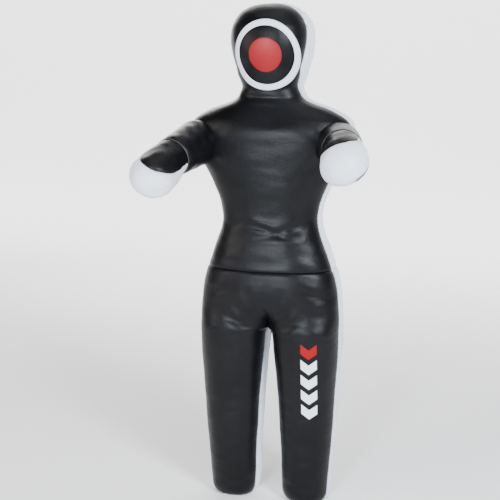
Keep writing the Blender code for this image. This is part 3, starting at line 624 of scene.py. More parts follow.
hoodHeights = np.concatenate([torsoHeights[hoodRow - 1:rowAt(torsoHeights, 1.300)],
                              np.linspace(1.3005, figure["crownStart"], 32)])
ringX, ringY = trunkHalf(hoodHeights)
hoodEdge = gussetTurn(ringY, gussetHalf(hoodHeights))[:, None]
hoodLean = hoodShape["lean"] * smooth(1.275, 1.345, hoodHeights)
leftEdge, rightEdge = (gussetTurn(ringY, gussetHalf(hoodHeights) + way * hoodLean)[:, None] for way in (1, -1))
frontU = edged(bodyShape["front"])[None]
crownHalf = float(gussetHalf(figure["crownStart"]))


def crownNarrow(side):
    # Share of the strip's width left on the crown: from the last ring's at the sides to the least on top.
    least = figure["gussetCrown"] / crownHalf
    return least + (1 - least) * side ** 2


def hoodPanel(back):
    # Front or back of the hood: rings up to the crown, then rows from the last ring to the crown's seam.
    # The front seam leans forward on the left side and back on the right one.
    left, right, lean = (hoodEdge, hoodEdge, 0) if back else (leftEdge, rightEdge, hoodShape["lean"])
    turn = -right + frontU * (left + right)
    x, y = oval(ringX[:, None], ringY[:, None], turn)
    z = np.broadcast_to(hoodHeights[:, None], x.shape)
    startX, startY = x[-1], y[-1]
    over = np.sin(pi / 2 * (2 * frontU[0] - 1))
    seamX = (startX[-1] + startX[0]) / 2 + (startX[-1] - startX[0]) / 2 * over
    share = (1 - np.cos(pi / 2 * np.linspace(0, 1, hoodShape["capRows"] + 1)[1:, None])) ** 0.9
    capX = startX + (seamX - startX) * share
    capY = startY + (-crownHalf * crownNarrow(over) - lean * over - startY) * share
    x, y = np.concatenate([x, capX]), np.concatenate([y, capY])
    z = np.concatenate([z, crownHeight(capX, capY)])
    return np.stack([x, np.where(back, -1, 1) * y + axisY, z], -1)


def hoodStrip():
    # White strip: up the left side, over the crown and down the right side.
    w = edged(16, 0.5)[None]
    over = np.sin(pi / 2 * np.linspace(1, -1, 73)[1:-1, None])
    sides = []
    for edge, sign in ((leftEdge, 1), (rightEdge, -1)):
        x, y = oval(ringX[:, None], ringY[:, None], edge + w * (pi - edge - hoodEdge))
        sides.append(np.stack([sign * x, y + axisY, np.broadcast_to(hoodHeights[:, None], x.shape)], -1))
    (leftX, leftY), (rightX, rightY) = ((side[-1, :, 0], side[-1, :, 1] - axisY) for side in sides)
    capX = (leftX + rightX) / 2 + (leftX - rightX) / 2 * over
    capY = (leftY + rightY) / 2 * crownNarrow(over) + (leftY - rightY) / 2 * over
    cap = np.stack([capX, capY + axisY, crownHeight(capX, capY)], -1)
    return np.concatenate([sides[0], cap, sides[1][::-1]])


def hoodWay(p):
    # Outward direction at a place of the hood, from how fast the section's equation changes.
    step = 0.0005

    def level(q):
        halfX, halfY = trunkHalf(np.minimum(q[..., 2], figure["top"] - 0.0002))
        return np.abs(q[..., 0] / halfX) ** figure["boxy"] + np.abs((q[..., 1] - axisY) / halfY) ** figure["boxy"]
    q = p.copy()
    q[..., 2] = np.minimum(q[..., 2], figure["top"] - 0.004)
    way = np.stack([level(q + np.eye(3)[i] * step) - level(q - np.eye(3)[i] * step) for i in range(3)], -1)
    return unit(way, 1e-9)


def hoodRelief(p, gap):
    # The neck's wrinkles fade into the hood's own, and the pucker runs on over the crown.
    fade = smooth(figure["hoodStart"], 1.300, p[..., 2])
    own = hoodShape["soft"] * ripple(p, hoodShape["softSize"], 14) \
        + cover["fine"] * ripple(p, hoodShape["fineSize"], 15)
    neck = bodyShape["wrinkle"] * ripple(p, bodyShape["wrinkleSize"], 4, (1, 1, 1.6)) \
        + cover["fine"] * ripple(p, 0.045, 9, (0.7, 1, 1.5))
    run = np.where(fade < 0.5, p[..., 2], p[..., 2] + 0.7 * p[..., 0])
    return sewnRelief(gap, run) + neck * (1 - fade) + own * fade


def domeAt(x, z):
    # Bulge of the hood over its plain outline: a bell curve round the target's height.
    wide, tall = hoodShape["domeSize"]
    return hoodShape["dome"] * np.exp(-((x / wide) ** 2 + ((z - target["height"]) / tall) ** 2))


def hoodInset(height):
    # How far the hood lies inside the plain outline: nothing at the neck seam and on the crown.
    return figure["hoodIn"] * smooth(1.285, 1.340, height) * (1 - smooth(1.470, 1.515, height))


def edgeGap(p, edges):
    # Least distance of every grid point to the points of the sewn edges.
    marks = np.concatenate([e.reshape(-1, 3) for e in edges])
    away = (p ** 2).sum(-1)[..., None] + (marks ** 2).sum(-1) - 2 * p @ marks.T
    return np.sqrt(np.maximum(away.min(-1), 0))


def finishHood(name, grid, material, replaces, joinRows):
    gap = edgeGap(grid, [grid[:, 0], grid[:, -1]] + ([grid[-1]] if len(joinRows) == 1 else []))
    way = hoodWay(grid)
    outer = grid + way * (hoodRelief(grid, gap) - hoodInset(grid[..., 2]))[..., None]
    outer = outer + way * (domeAt(grid[..., 0], grid[..., 2]) * smooth(0.3, 0.9, -way[..., 1]))[..., None]
    centre = np.array([0, axisY, 1.36])
    held = np.zeros_like(outer)
    whole = gridNormals(outer, centre)
    for row in joinRows:
        held[row] = whole[row]
    rows = slice(1, None) if len(joinRows) == 1 else slice(1, -1)
    # the hood's seam mask: wear on the black panels, painted shade on the white strip
    piece = coverPiece(name, outer[rows], centre, material, np.exp(-gap / cover["seamWearAndShade"])[rows], joined=held[rows])
    return finishPiece(piece, neckTurn, replaces)


finishHood("hood_front", hoodPanel(False), blackLeather, ("hood_front_panel", "head_fill"), (1,))
finishHood("hood_back", hoodPanel(True), blackLeather, ("hood_back_panel",), (1,))
finishHood("hood_strip", hoodStrip(), whiteLeather, ("hood_gusset",), (1, -2))
print("hood is sewn")


# Face target.
def faceY(x, z):
    halfX, halfY = trunkHalf(z)
    flat = -halfY * (1 - np.minimum(np.abs(x / halfX), 0.995) ** figure["boxy"]) ** (1 / figure["boxy"])
    return flat + axisY - domeAt(x, z)


def targetPatch(name, inner, outer, material, body, replaces):
    # Leather patch on the face: ovals from the inner to the outer edge, lifted off the hood, with rounded rims.
    steps, sides = 14, 120
    share = edged(steps, 0.9)[:, None]
    turn = np.linspace(0, 2 * pi, sides, endpoint=False)[None]
    sizeX = inner[0] + (outer[0] - inner[0]) * share
    sizeZ = inner[1] + (outer[1] - inner[1]) * share
    x, z = target["middle"] + sizeX * np.sin(turn), target["height"] + sizeZ * np.cos(turn)
    rim = np.minimum((sizeX - inner[0]) if inner[0] else 1.0, outer[0] - sizeX)
    up = target["lift"] + target["thick"] * np.sqrt(1 - (1 - np.clip(rim / target["round"], 0, 1)) ** 2 * 0.75)
    up = up + cover["crown"] - hoodInset(z) + 0.0002 * np.sin(turn * 60) * np.exp(-rim / 0.004)
    flat = np.stack([x, faceY(x, z), z], -1)
    way = hoodWay(flat)
    outerGrid = flat + way * up[..., None]
    # rim mask of the target patches: painted shade on the white ring's rims and the red centre's rim
    seamWearAndShade = np.exp(-rim / 0.003) + 0 * x
    piece = coverPiece(name, outerGrid, np.array([0, axisY, target["height"]]), material, seamWearAndShade, wrap=True,
                       thick=target["thick"])
    finishPiece(piece, body, replaces)


def targetStitches(name, size, inset, material, body):
    # A line of stitches on the patch, a constant distance inside its edge.
    turn = np.linspace(0, 2 * pi, 360, endpoint=False)
    x = target["middle"] + (size[0] + inset) * np.sin(turn)
    z = target["height"] + (size[1] + inset) * np.cos(turn)
    flat = np.stack([x, faceY(x, z), z], -1)
    way = hoodWay(flat)
    line = flat + way * (target["lift"] + target["thick"] + cover["crown"] - hoodInset(z))[..., None]
    row = stitchRow(name, line, way, target["stitch"], target["thread"], material)
    finishPiece(row, body, ())


targetStitches("ring_stitches_outer", target["outer"], -target["margin"], paleThread, neckTurn)
targetStitches("ring_stitches_inner", target["inner"], target["margin"], paleThread, neckTurn)
targetStitches("centre_stitches", target["centre"], -target["margin"], redThread, "head")
targetPatch("target_ring_patch", target["inner"], target["outer"], whiteLeather, neckTurn, ("target_ring",))
targetPatch("target_centre_patch", (0.0, 0.0), target["centre"], redLeather, "head", ("target_centre",))
print("face target is stitched on")

# Legs.
legShape = {"front": 44, "gusset": 8, "valley": 4.2, "close": 0.036, "closeWidth": 0.0135, "wrinkle": 0.0005,
            "hipBend": (0.545, 0.0600, 0.4165), "knee": (0.118, 0.36, 0.24)}
legFolds = (    # distance from the middle, height, the same again, depth, width
    (0.006, 0.562, 0.085, 0.640, 0.0034, 0.0120), (0.008, 0.548, 0.110, 0.598, 0.0034, 0.0120),
    (0.012, 0.532, 0.105, 0.556, 0.0018, 0.0110), (0.010, 0.590, 0.050, 0.680, 0.0022, 0.0120),
    (0.150, 0.600, 0.195, 0.625, 0.0006, 0.0160), (0.060, 0.330, 0.160, 0.318, 0.0016, 0.0120),
    (0.070, 0.290, 0.150, 0.296, 0.0015, 0.0130), (0.060, 0.210, 0.150, 0.203, 0.0012, 0.0130),
    (0.080, 0.140, 0.160, 0.146, 0.0014, 0.0110), (0.055, 0.060, 0.150, 0.052, 0.0016, 0.0100),
    (0.100, 0.690, 0.190, 0.660, 0.0020, 0.0120),
)


def legHeights():
    # From the hip seam down to the foot's edge, a little closer together round the crotch and the foot.
    hip, crotch, knee, foot = (figure[n] for n in ("hipSeam", "crotch", "kneeJoin", "footRounding"))
    return np.concatenate([
        hip - 0.0002 - 0.02 * edged(8, 0.6)[:-1], np.linspace(hip - 0.0202, crotch, 33)[:-1],
        crotch - (crotch - knee) * np.linspace(0, 1, 40)[:-1] ** 1.25, np.linspace(knee, foot, 66)[:-1],
        foot - (foot - figure["footUnder"]) * edged(9, 0.4)])


def legGrid(heights):
    # The half trunk section turns into the leg's own oval as the height falls from the hip seam to the crotch.
    out, halfX, halfY = (v[:, None] for v in np.moveaxis(through(figure["leg"], heights), -1, 0))
    z = heights[:, None]
    foot = figure["footRounding"]
    tuck = np.where(z < foot, foot - np.sqrt(np.maximum(foot**2 - (foot - z) ** 2, 0)), 0) * figure["footTuck"]
    halfX, halfY = halfX - tuck, halfY - tuck
    bigX, bigY = (v[:, None] for v in trunkHalf(heights))
    smallEdge = gussetTurn(halfY, figure["gussetLeg"])
    bigEdge = gussetTurn(bigY, figure["gussetBody"])
    u, w = edged(legShape["front"])[None], edged(legShape["gusset"], 0.5)[None]
    small = [(2 * u - 1) * smallEdge, smallEdge + w * (pi - 2 * smallEdge), pi - smallEdge + u * 2 * smallEdge,
             pi + smallEdge + w * (pi - 2 * smallEdge)]
    big = [u * bigEdge, bigEdge + w * (pi - 2 * bigEdge), pi - bigEdge + u * bigEdge, pi + 0 * w + 0 * z]
    counts = np.cumsum([0] + [p.shape[1] - 1 for p in small])
    small, big = (np.concatenate([p[:, :-1] for p in parts], axis=1) for parts in (small, big))
    x, y = oval(halfX, halfY, small)
    inward = np.clip(-x / halfX, 0, 1) ** 3
    below = np.clip((figure["crotch"] - z) / legShape["close"], 0, 1)
    closing = 1 - np.sqrt(1 - (1 - below) ** 2)
    legX = np.maximum(x + out - inward * legShape["closeWidth"] * closing, 0.0005)
    bodyX, bodyY = oval(bigX, bigY, big)
    inner = counts[3]
    bodyX[:, inner:] = 0.0
    bodyY[:, inner:] = bigY * np.linspace(1, -1, bodyY.shape[1] - inner)[None]
    share = np.clip((figure["hipSeam"] - z) / (figure["hipSeam"] - figure["crotch"]), 0, 1) ** legShape["valley"]
    share = 1 - (1 - share) ** 1.6
    px, py = bodyX + (legX - bodyX) * share, bodyY + (y - bodyY) * share
    px = np.where(z > figure["crotch"], np.maximum(px, 0.0), px)
    bodyWay, legWay = ovalWay(bodyX, bodyY, bigX, bigY), ovalWay(x, y, halfX, halfY)
    way = unit(bodyWay * (1 - share[..., None]) + legWay * share[..., None], 1e-9)
    grid = np.stack([px, py + axisY, np.broadcast_to(z, px.shape)], -1)
    return grid, way, counts, out


def sewLeg(side, sign):
    heights = legHeights()
    grid, way, counts, out = legGrid(heights)
    x, z = grid[..., 0], grid[..., 2]
    above = 0.05 * smooth(figure["crotch"] - 0.004, figure["crotch"] + 0.030, z)
    gap = np.minimum(seamGap(grid, counts[1:3], wrap=True), seamGap(grid, counts[[0, 3]], wrap=True) + above)
    relief = sewnRelief(gap, z)
    frontness = smooth(0.0, 0.7, -way[..., 1])
    relief -= foldDepth(x, z, legFolds) * (frontness + 0.6 * smooth(0.0, 0.7, way[..., 1]))
    mirror = np.array([sign, 1, 1])
    relief += legShape["wrinkle"] * ripple(grid * mirror, 0.10, 21, (0.8, 0.8, 1.7))
    relief += cover["fine"] * ripple(grid * mirror, 0.040, 22, (0.6, 0.8, 1.8))
    relief -= cover["hem"] * np.exp(-np.abs(z - figure["hipSeam"]) / cover["hemWidth"])
    outer = grid + way * relief[..., None]
    outer[..., 0] = np.maximum(outer[..., 0], np.where(z >= figure["crotch"] - 1e-6, 0.0, 0.0003))
    inner = np.arange(outer.shape[1])
    onMiddle = (inner == counts[0]) | (inner == counts[3])
    outer[:, onMiddle, 0] = np.where(z[:, onMiddle] >= figure["crotch"] - 1e-6, 0.0, outer[:, onMiddle, 0])
    centre = np.stack([out[:, 0], 0 * heights + axisY, heights], -1)[:, None]
    normals = gridNormals(outer, centre, wrap=True)
    # seam mask of the leg: wear on the black panels, painted shade on the white strips
    seamWearAndShade = np.exp(-gap / cover["seamWearAndShade"])
    # above the crotch both legs' covers meet on the middle line with one direction, so that no edge shows
    met = np.zeros_like(outer)
    topRow = rowAt(heights, figure["crotch"])
    sides = (slice(counts[0], counts[1] + 1), slice(counts[2], counts[3] + 1))
    for col, part in zip((counts[0], counts[3]), sides):
        level = gridNormals(outer[:, part], centre)[:, 0 if col == 0 else -1] * (0, 1, 1)
        met[:topRow, col] = unit(level, 1e-9)[:topRow]
    # the underside closes on a point in the middle of the sole
    last, middlePoint = outer[-1:], centre[-1:]
    under = np.concatenate([last + (middlePoint - last) * s for s in (0.25, 0.6, 1.0)])
    outer = np.concatenate([outer, under])
    centre = np.concatenate([centre, np.repeat(centre[-1:] + (0, 0, 0.02), 3, 0)])
    normals, met = (np.concatenate([n, np.zeros((3,) + n.shape[1:])]) for n in (normals, met))
    seamWearAndShade = np.concatenate([seamWearAndShade, np.ones((3, seamWearAndShade.shape[1]))])
    knee = rowAt(heights, figure["kneeJoin"])
    crotch = rowAt(heights, figure["crotch"])
    lastRow = len(outer) - 1
    hipZ, thighX, thighZ = legShape["hipBend"]
    hipBend = ("pelvis", "thigh_" + side, (0, axisY, hipZ), (sign * thighX, axisY, thighZ))
    kneeX, kneeTop, kneeLow = legShape["knee"]
    kneeBend = ("thigh_" + side, "shin_" + side, (sign * kneeX, axisY, kneeTop), (sign * kneeX, axisY, kneeLow))
    front = markedLeather if sign > 0 else blackLeather
    pieces = (
        ("thigh_front_", (0, knee), 0, front, hipBend, ("thigh_front_panel_", "thigh_fill_")),
        ("thigh_strip_outer_", (0, knee), 1, whiteLeather, hipBend, ("thigh_gusset_outer_",)),
        ("thigh_back_", (0, knee), 2, blackLeather, hipBend, ("thigh_back_panel_",)),
        ("thigh_strip_inner_", (crotch, knee), 3, whiteLeather, hipBend, ("thigh_gusset_inner_",)),
        ("shin_front_", (knee, lastRow), 0, front, kneeBend, ("shin_front_panel_", "shin_fill_")),
        ("shin_strip_outer_", (knee, lastRow), 1, whiteLeather, kneeBend, ("shin_gusset_",)),
        ("shin_back_", (knee, lastRow), 2, blackLeather, kneeBend, ("shin_back_panel_",)),
        ("shin_strip_inner_", (knee, lastRow), 3, whiteLeather, kneeBend, ()),
    )
    for name, rows, part, material, body, replaced in pieces:
        cols = (counts[part], counts[part + 1])
        held = met.copy()
        held[knee] = normals[knee]
        piece = coverPiece(name + side, pick(outer, rows, cols) * mirror, centre[rows[0]:rows[1] + 1] * mirror,
                           material, pick(seamWearAndShade, rows, cols), joined=pick(held, rows, cols) * mirror)
        finishPiece(piece, body, [n + side for n in replaced])
    print("leg is sewn:", side)


sewLeg("left", 1)
sewLeg("right", -1)

# Arms and gloves.
armShape = {
    "shoulder": (0.214, -0.080, 1.115), "upper": 0.150, "fore": 0.090, "handRadius": 0.066,
    "pose": {"left": ((0.247, -0.020), (0.235, 0.345)), "right": ((0.247, 0.235), (0.235, 0.480))},
    "roll": radians(27), "rootRadius": 0.068, "elbowRadius": 0.0565, "elbowSeam": -0.016, "fillet": 0.030,
    "tongue": {"left": (0.100, 1.30), "right": (0.135, 1.34)}, "under": (0.153, 1.05), "underTurn": 0.50,
    "flat": 0.015, "flatFrom": 0.040, "flatTo": 0.130, "wrist": 0.0575, "palm": 0.0655, "swell": 0.075,
    "sides": 72, "sleeveRows": 44, "gloveRows": 46, "wrinkle": 0.0007, "piping": 0.0014,
    "rimDepth": 0.0050, "rimWidth": 0.0045, "gather": 0.0007, "gatherReach": 0.014,
}
sleeveCreases = (   # place along the arm, swing, waves round it, phase, depth, width, then the side it shows on
    (0.100, 0.006, 2, 1, 0.0022, 0.006, 0.2, 0.4), (0.078, 0.008, 1, 0, 0.0018, 0.007, 0.3, -0.6),
)
gloveShape = {"dip": 0.0036, "wave": 0.0006, "waveReach": 0.009, "soft": 0.0012, "softSize": 0.055,
              "fine": 0.0004, "fineSize": 0.024, "tip": 0.03, "bendLength": 0.062}


def armWay(sign, pose):
    out, down = pose
    return np.array([sign * out, -sqrt(1 - out * out - down * down), -down])


def armFrame(along, sign):
    # Columns across, up and along: up is turned inwards about the arm.
    up = np.array([0, 0, 1.0]) - along * along[2]
    up /= np.linalg.norm(up)
    up = np.array(Matrix.Rotation(sign * armShape["roll"], 3, Vector(along)) @ Vector(up))
    return np.cross(up, along), up, along


def armLine(side, sign, run):
    # Place and frame of points along the arm: straight, a rounded elbow, and straight again.
    place = np.array([sign * armShape["shoulder"][0], axisY + armShape["shoulder"][1], armShape["shoulder"][2]])
    upper, fore = (armFrame(armWay(sign, p), sign) for p in armShape["pose"][side])
    elbow = place + upper[2] * armShape["upper"]
    turn = smooth(-armShape["fillet"], armShape["fillet"], run - armShape["upper"])[..., None]
    frames = [a + (b - a) * turn for a, b in zip(upper, fore)]
    frames = [unit(f) for f in frames]
    past = run[..., None] - armShape["upper"]
    soft = armShape["fillet"]
    bow = np.where(np.abs(past) < soft, (soft + past) ** 2 / (4 * soft), np.maximum(past, 0))
    centre = elbow + upper[2] * (past - bow) + fore[2] * bow
    return centre, frames, place, elbow


def armRadius(run):
    # From the root ball along the sleeve, a slight waist at the elbow seam, and the fuller hand.
    past = run - armShape["upper"]
    sleeve = np.interp(run, (0, armShape["upper"]), (armShape["rootRadius"], armShape["elbowRadius"]))
    root = np.sqrt(np.maximum(armShape["rootRadius"] ** 2 - np.minimum(run, 0) ** 2, 0))
    wrist, palm = armShape["wrist"], armShape["palm"]
    hand = wrist + (palm - wrist) * smooth(0.0, armShape["swell"], past)
    tip = past - armShape["fore"]
    ball = np.sqrt(np.maximum(armShape["handRadius"] ** 2 - np.maximum(tip, 0) ** 2, 0))
    return np.where(run < 0, root, np.where(past < 0, sleeve, np.where(tip > 0, ball, hand)))


def armGrid(side, sign, run, turn, relief):
    centre, (across, up, _), place, elbow = armLine(side, sign, run)
    spoke = np.sin(turn)[..., None] * across + np.cos(turn)[..., None] * up
    return centre + spoke * (armRadius(run) + relief)[..., None], centre, spoke


def sewArm(side, sign):
    upper, fore, seam = armShape["upper"], armShape["fore"], armShape["upper"] + armShape["elbowSeam"]
    sides = armShape["sides"]
    turn = np.linspace(0, 2 * pi, sides, endpoint=False)[None]
    root = -armShape["rootRadius"] * np.cos(np.linspace(0.05, pi / 2, 18))
    run = np.concatenate([root[:-1], seam * edged(armShape["sleeveRows"], 0.5)])[:, None] + 0 * turn
    flat, centre, _ = armGrid(side, sign, run, turn, 0 * run)
    end = np.maximum(seam - run, 0)
    rimDepth, rimWidth = armShape["rimDepth"], armShape["rimWidth"]
    relief = -rimDepth * np.exp(-end / rimWidth) + armShape["gather"] * np.sin(turn * 22 + 2 * np.sin(3 * turn)) \
        * np.exp(-end / armShape["gatherReach"]) * smooth(0, 0.004, end)
    relief = relief + armShape["wrinkle"] * ripple(flat, 0.060, 41 if sign > 0 else 47, (1.5, 1.5, 1))
    for at, swing, waves, phase, deep, wide, least, middle in sleeveCreases:
        away = (run - at - swing * np.sin(waves * turn + phase * sign)) / wide
        relief = relief - deep * np.exp(-away ** 2) * smooth(least, 1, np.cos(turn - pi - middle))
    outer, centre, _ = armGrid(side, sign, run, turn, relief * (run > -0.02))
    seamWearAndShade = np.exp(-end / cover["seamWearAndShade"])
    sleeve = coverPiece("sleeve_" + side, outer, centre, blackLeather, seamWearAndShade, wrap=True)
    finishPiece(sleeve, "upper_arm_" + side,
                ("upper_arm_sleeve_" + side, "upper_arm_fill_" + side, "shoulder_fill_" + side))

    # the glove: a black tongue on the back of the hand, a black piece beneath, and white round both
    length = upper + fore + armShape["handRadius"] - seam

    def edgeAt(angle, reach, wide):
        return reach * np.sqrt(np.maximum(1 - (angle / wide) ** 2, 0))

    def wrapped(angle):
        return (angle + pi) % (2 * pi) - pi

    def border(angle):
        top = edgeAt(wrapped(angle), *armShape["tongue"][side])
        low = edgeAt(wrapped(angle - pi + sign * armShape["underTurn"]), *armShape["under"])
        return np.maximum(top, low)

    def gloveRelief(run, angle):
        # Seam distances are taken along and across the arm.
        past = run - seam
        away = np.minimum(np.abs(past - border(angle)), 0.05)
        slope = np.abs(border(angle + 0.02) - border(angle - 0.02)) / 0.04 / 0.062
        away = away / np.sqrt(1 + slope**2)
        flat, _, _ = armGrid(side, sign, run, angle, 0 * run)
        rim = -rimDepth * np.exp(-past / rimWidth)
        dip = -gloveShape["dip"] * np.exp(-away / gloveShape["dip"])
        wave = gloveShape["wave"] * np.sin(angle * 30 + past * 300) * np.exp(-away / gloveShape["waveReach"])
        soft = gloveShape["soft"] * ripple(flat, gloveShape["softSize"], 61 if sign > 0 else 67) \
            + gloveShape["fine"] * ripple(flat, gloveShape["fineSize"], 63)
        return np.minimum(rim, dip) + (wave + soft) * smooth(0, 0.004, past), away

    def gloveGrid(run, angle):
        # The palm side is flatter: points below the middle are lifted, more towards the tip.
        relief, away = gloveRelief(run, angle)
        relief = relief * np.minimum(armRadius(run) / gloveShape["tip"], 1)
        outer, centre, _ = armGrid(side, sign, run, angle, relief)
        low = -np.cos(angle) * armRadius(run) / armShape["handRadius"]
        lift = armShape["flat"] * smooth(0.0, 1.0, low) \
            * smooth(armShape["flatFrom"], armShape["flatTo"], run - seam)
        # the last value is the seam mask: painted shade on the white band, wear on the black pieces
        return outer + lift[..., None] * foreUp, centre, np.exp(-away / cover["seamWearAndShade"])

    elbow = armLine(side, sign, np.array([upper]))[3]
    foreWay = armWay(sign, armShape["pose"][side][1])
    foreUp = armFrame(foreWay, sign)[1]
    start = elbow + foreWay * armShape["elbowSeam"]
    bend = ("upper_arm_" + side, "forearm_" + side, tuple(start), tuple(start + foreWay * gloveShape["bendLength"]))
    rows = armShape["gloveRows"]
    tipShare = np.sin(pi / 2 * np.linspace(0, 1, rows + 1))[:, None]

    angle = np.linspace(0, 2 * pi, sides * 2, endpoint=False)[None]
    low = border(angle)
    run = seam + low + (length - low) * tipShare
    outer, centre, seamWearAndShade = gloveGrid(run, angle + 0 * run)
    band = coverPiece("hand_band_cover_" + side, outer, centre, whiteLeather, seamWearAndShade, wrap=True)
    finishPiece(band, bend, ("hand_band_" + side, "forearm_fill_" + side))
    for name, (reach, wide), middle, node in (
            ("hand_tongue_", armShape["tongue"][side], 0.0, "forearm_top_panel_"),
            ("hand_under_", armShape["under"], pi - sign * armShape["underTurn"], "forearm_bottom_panel_")):
        angle = middle + wide * np.linspace(-1, 1, sides)[None]
        run = seam + border(angle) * edged(24, 0.5)[:, None]
        outer, centre, seamWearAndShade = gloveGrid(run, angle + 0 * run)
        piece = coverPiece(name + side, outer, centre, blackLeather, seamWearAndShade)
        finishPiece(piece, bend, (node + side,))
    ringTurn = np.linspace(0, 2 * pi, sides, endpoint=False)
    rim = np.full(sides, seam + armShape["piping"] * 0.3)
    line, _, _ = armGrid(side, sign, rim, ringTurn, np.full(sides, -0.0012))
    # elbow piping cord, coloured light grey as a painted highlight of the seam edge
    cord = tubeAlong("elbow_piping_" + side, line, armShape["piping"], pipingPaintedHighlight)
    finishPiece(cord, "upper_arm_" + side, ())
    print("arm is sewn:", side)


sewArm("left", 1)
sewArm("right", -1)

# Soles and filling zip.
zipShape = {"pitch": 0.0029, "tooth": (0.0030, 0.0013), "toothOut": 0.0013, "soft": 0.0003,
            "bodyWide": 0.0052, "bodyLong": 0.0160, "bridge": 0.0022, "pull": (0.0040, 0.0018, 0.0300),
            "hole": 0.0020, "line": (0, 0.07207, 0.9974)}

# the zip's own directions: along its line, across it and out of the back
upWay = np.array(Vector(zipShape["line"]).normalized())
across = np.array([1.0, 0, 0])
outWay = np.cross(upWay, across)


def middleOf(name):
    low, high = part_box(name)
    return np.array((low + high) / 2)


def power(value, by):
    return np.sign(value) * np.abs(value) ** by


def roundedBlock(centre, half, soft):
    # Box in the zip's frame with softened edges: a superellipsoid grid, closed at both poles.
    rows, cols = 13, 24
    v = np.linspace(-pi / 2, pi / 2, rows)[:, None]
    u = np.linspace(0, 2 * pi, cols, endpoint=False)[None]
    x = power(np.cos(v), soft) * power(np.cos(u), soft) * half[0]
    y = power(np.cos(v), soft) * power(np.sin(u), soft) * half[1]
    z = power(np.sin(v), soft) * half[2] + 0 * u
    grid = centre + x[..., None] * across + y[..., None] * outWay + z[..., None] * upWay
    return grid.reshape(-1, 3), quadsOf(rows, cols, True)[1]


def joinParts(name, parts, material):
    # One object out of several closed shapes.
    points, faces, count = [], [], 0
    for p, f in parts:
        points.append(p)
        faces.append(f + count)
        count += len(p)
    return meshFrom(name, np.concatenate(points), np.concatenate(faces), [material], smoothAngle=40)


def sewZip():
    # Interlocking teeth in two rows, a slider of two plates and a bridge, and a pull tab with a round eye.
    low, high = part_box("zip_teeth_left")
    centre = (middleOf("zip_teeth_left") + middleOf("zip_teeth_right")) / 2
    length = (high.z - low.z) / upWay[2]
    count = int(length / zipShape["pitch"])
    for side, sign in (("left", 1), ("right", -1)):
        shift = 0.25 * sign * zipShape["pitch"]
        rows = (np.arange(count) + 0.5 - count / 2) * zipShape["pitch"] + shift
        rows = rows[np.abs(rows) < length / 2 - 0.0008]
        wide, tall = zipShape["tooth"]
        half = (wide / 2, zipShape["toothOut"], tall / 2 * 0.9)
        parts = [roundedBlock(centre + across * sign * zipShape["toothOut"] + upWay * z, half, 0.35) for z in rows]
        teeth = joinParts("zip_teeth_row_" + side, parts, zipMetal)
        finishPiece(teeth, "chest", ("zip_teeth_" + side,))
    middle = middleOf("zip_slider")
    wide = zipShape["bodyWide"]
    long = zipShape["bodyLong"] / 2
    blocks = (      # outwards, upwards, half sizes, softness
        (-0.0012, 0.0, (wide, 0.0010, long * 0.95), 0.45), (0.0008, 0.004, (wide * 0.6, 0.0014, long * 0.4), 0.5),
        (0.0014, -0.001, (zipShape["bridge"] / 2, 0.0010, long * 0.7), 0.5))
    parts = [roundedBlock(middle + outWay * out + upWay * up, half, soft) for out, up, half, soft in blocks]
    slider = joinParts("zip_slider_body", parts, zipMetal)
    finishPiece(slider, "slider", ("zip_slider",))
    # pull tab: a ring of section round its eye, stretched into a long tab
    middle = middleOf("zip_pull_tab")
    wide, deep, tall = zipShape["pull"]
    turn = np.linspace(0, 2 * pi, 48, endpoint=False)[None]
    outline = np.stack([power(np.sin(turn), 0.6) * wide, power(np.cos(turn), 0.6) * tall / 2 * 0.97], -1)
    eye = np.stack([zipShape["hole"] * np.sin(turn), zipShape["hole"] * np.cos(turn) + tall * 0.33], -1)
    soft = zipShape["soft"]
    half = deep / 2
    loops = [(eye, -half), (outline * 0.93, -half), (outline, -half + soft), (outline, half - soft),
             (outline * 0.93, half), (eye, half), (eye, -half)]
    grid = np.concatenate([middle + flat[..., :1] * across + flat[..., 1:] * upWay + off * outWay
                           for flat, off in loops])
    tab = meshFrom("zip_pull", grid.reshape(-1, 3), quadsOf(len(loops), 48, True)[1], [zipMetal], smoothAngle=40)
    finishPiece(tab, "pull", ("zip_pull_tab",))


for side in ("left", "right"):
    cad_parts["foot_sole_" + side].material_slots[0].material = soleRubber
    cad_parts["zip_tape_" + side].material_slots[0].material = zipCloth
for name in ("zip_bottom_stop", "zip_top_stop"):
    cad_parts[name].material_slots[0].material = zipMetal
sewZip()
print("zip is in")

# Floor, lights and camera.
studio = {"distance": 3.0, "height": 1.38, "azimuth": radians(14), "down": radians(11.2), "focal": 2.0,
          "shift": 0.046, "sensor": 36.0, "backdrop": 2.2, "world": 0.10, "worldTint": (0.95, 0.97, 1.0, 1)}


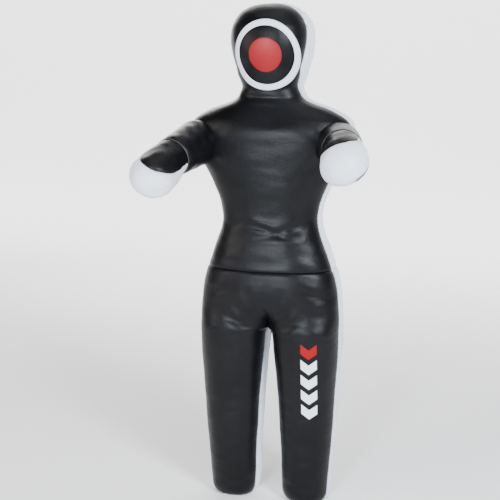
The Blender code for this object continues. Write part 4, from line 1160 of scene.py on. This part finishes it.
def addFloor():
    # Pale sweep: flat under the dummy, then a rounded rise far behind it.
    reach = np.concatenate([np.linspace(-12, 6, 10), 6 + 3 * np.sin(np.linspace(0.1, pi / 2, 12)), [9.0]])
    lift = np.concatenate([np.zeros(10), 3 - 3 * np.cos(np.linspace(0.1, pi / 2, 12)), [12.0]])
    across = np.linspace(-14, 14, 8)
    grid = np.stack(np.broadcast_arrays(across[None], reach[:, None], lift[:, None]), -1)
    _, faces = quadsOf(len(reach), len(across), False)
    mesh = bpy.data.meshes.new("floor")
    mesh.from_pydata(grid.reshape(-1, 3).tolist(), [], faces.tolist())
    mesh.shade_smooth()
    made, shader, flow = newMaterial("paleFloor", Roughness=0.9)
    place = flow.make("ShaderNodeTexCoord", output=3)
    mottle = flow.make("ShaderNodeTexNoise", {"Vector": place, "Scale": 3.0, "Detail": 3.0})
    pale = mottle.mix((0.90, 0.90, 0.90, 1), (0.94, 0.94, 0.94, 1))
    plug(flow, shader, "Base Color", pale)
    behind = place.make("ShaderNodeSeparateXYZ", {0: place}, output=1).within(0.6, 4.5)
    plug(flow, shader, "Emission Color", behind.mix((0.02, 0.02, 0.02, 1), (1.0, 1.0, 1.0, 1)))
    shader.inputs["Emission Strength"].default_value = studio["backdrop"]
    mesh.materials.append(made)
    floor = bpy.data.objects.new("floor", mesh)
    bpy.context.scene.collection.objects.link(floor)


def addLight(name, place, aim, size, power, colour=(1, 1, 1)):
    light = bpy.data.lights.new(name, "AREA")
    light.shape, light.size, light.size_y = "RECTANGLE", *size
    light.energy, light.color = power, colour
    lamp = bpy.data.objects.new(name, light)
    lamp.location = place
    lamp.rotation_euler = (Vector(aim) - Vector(place)).to_track_quat("-Z", "Y").to_euler()
    bpy.context.scene.collection.objects.link(lamp)


def addCamera():
    camera = bpy.data.cameras.new("camera")
    camera.sensor_width = studio["sensor"]
    camera.lens = studio["focal"] * studio["sensor"]
    camera.clip_end = 60
    seen = bpy.data.objects.new("camera", camera)
    azimuth, distance, down = studio["azimuth"], studio["distance"], studio["down"]
    seen.location = (distance * sin(azimuth), axisY - distance * cos(azimuth), studio["height"])
    heading = azimuth + atan(studio["shift"] / studio["focal"])
    forward = Vector((-sin(heading) * cos(down), cos(heading) * cos(down), -sin(down)))
    seen.rotation_euler = forward.to_track_quat("-Z", "Y").to_euler()
    bpy.context.scene.collection.objects.link(seen)
    bpy.context.scene.camera = seen


addFloor()
addLight("keySoft", (2.5, -2.3, 2.2), (0.0, 0.0, 1.05), (0.9, 1.2), 230, (0.88, 0.93, 1.0))
addLight("fillSoft", (-2.8, -2.0, 1.6), (0.0, 0.1, 0.8), (1.2, 1.6), 60, (1.0, 0.92, 0.84))
addLight("frontSoft", (-0.35, -4.2, 1.30), (0.0, 0.0, 0.95), (0.7, 0.6), 190, (0.84, 0.91, 1.0))
addLight("topSoft", (0.4, -0.6, 4.4), (0.0, 0.2, 0.5), (3.0, 3.0), 60)
addLight("backSoft", (-1.6, 2.6, 2.2), (0.0, 0.2, 0.9), (1.6, 1.8), 45, (1.0, 0.97, 0.92))
world = bpy.data.worlds.new("studio") if bpy.context.scene.world is None else bpy.context.scene.world
bpy.context.scene.world = world
world.use_nodes = True
sky = world.node_tree.nodes["Background"].inputs
sky["Color"].default_value = studio["worldTint"]
sky["Strength"].default_value = studio["world"]
addCamera()
print("studio is set")
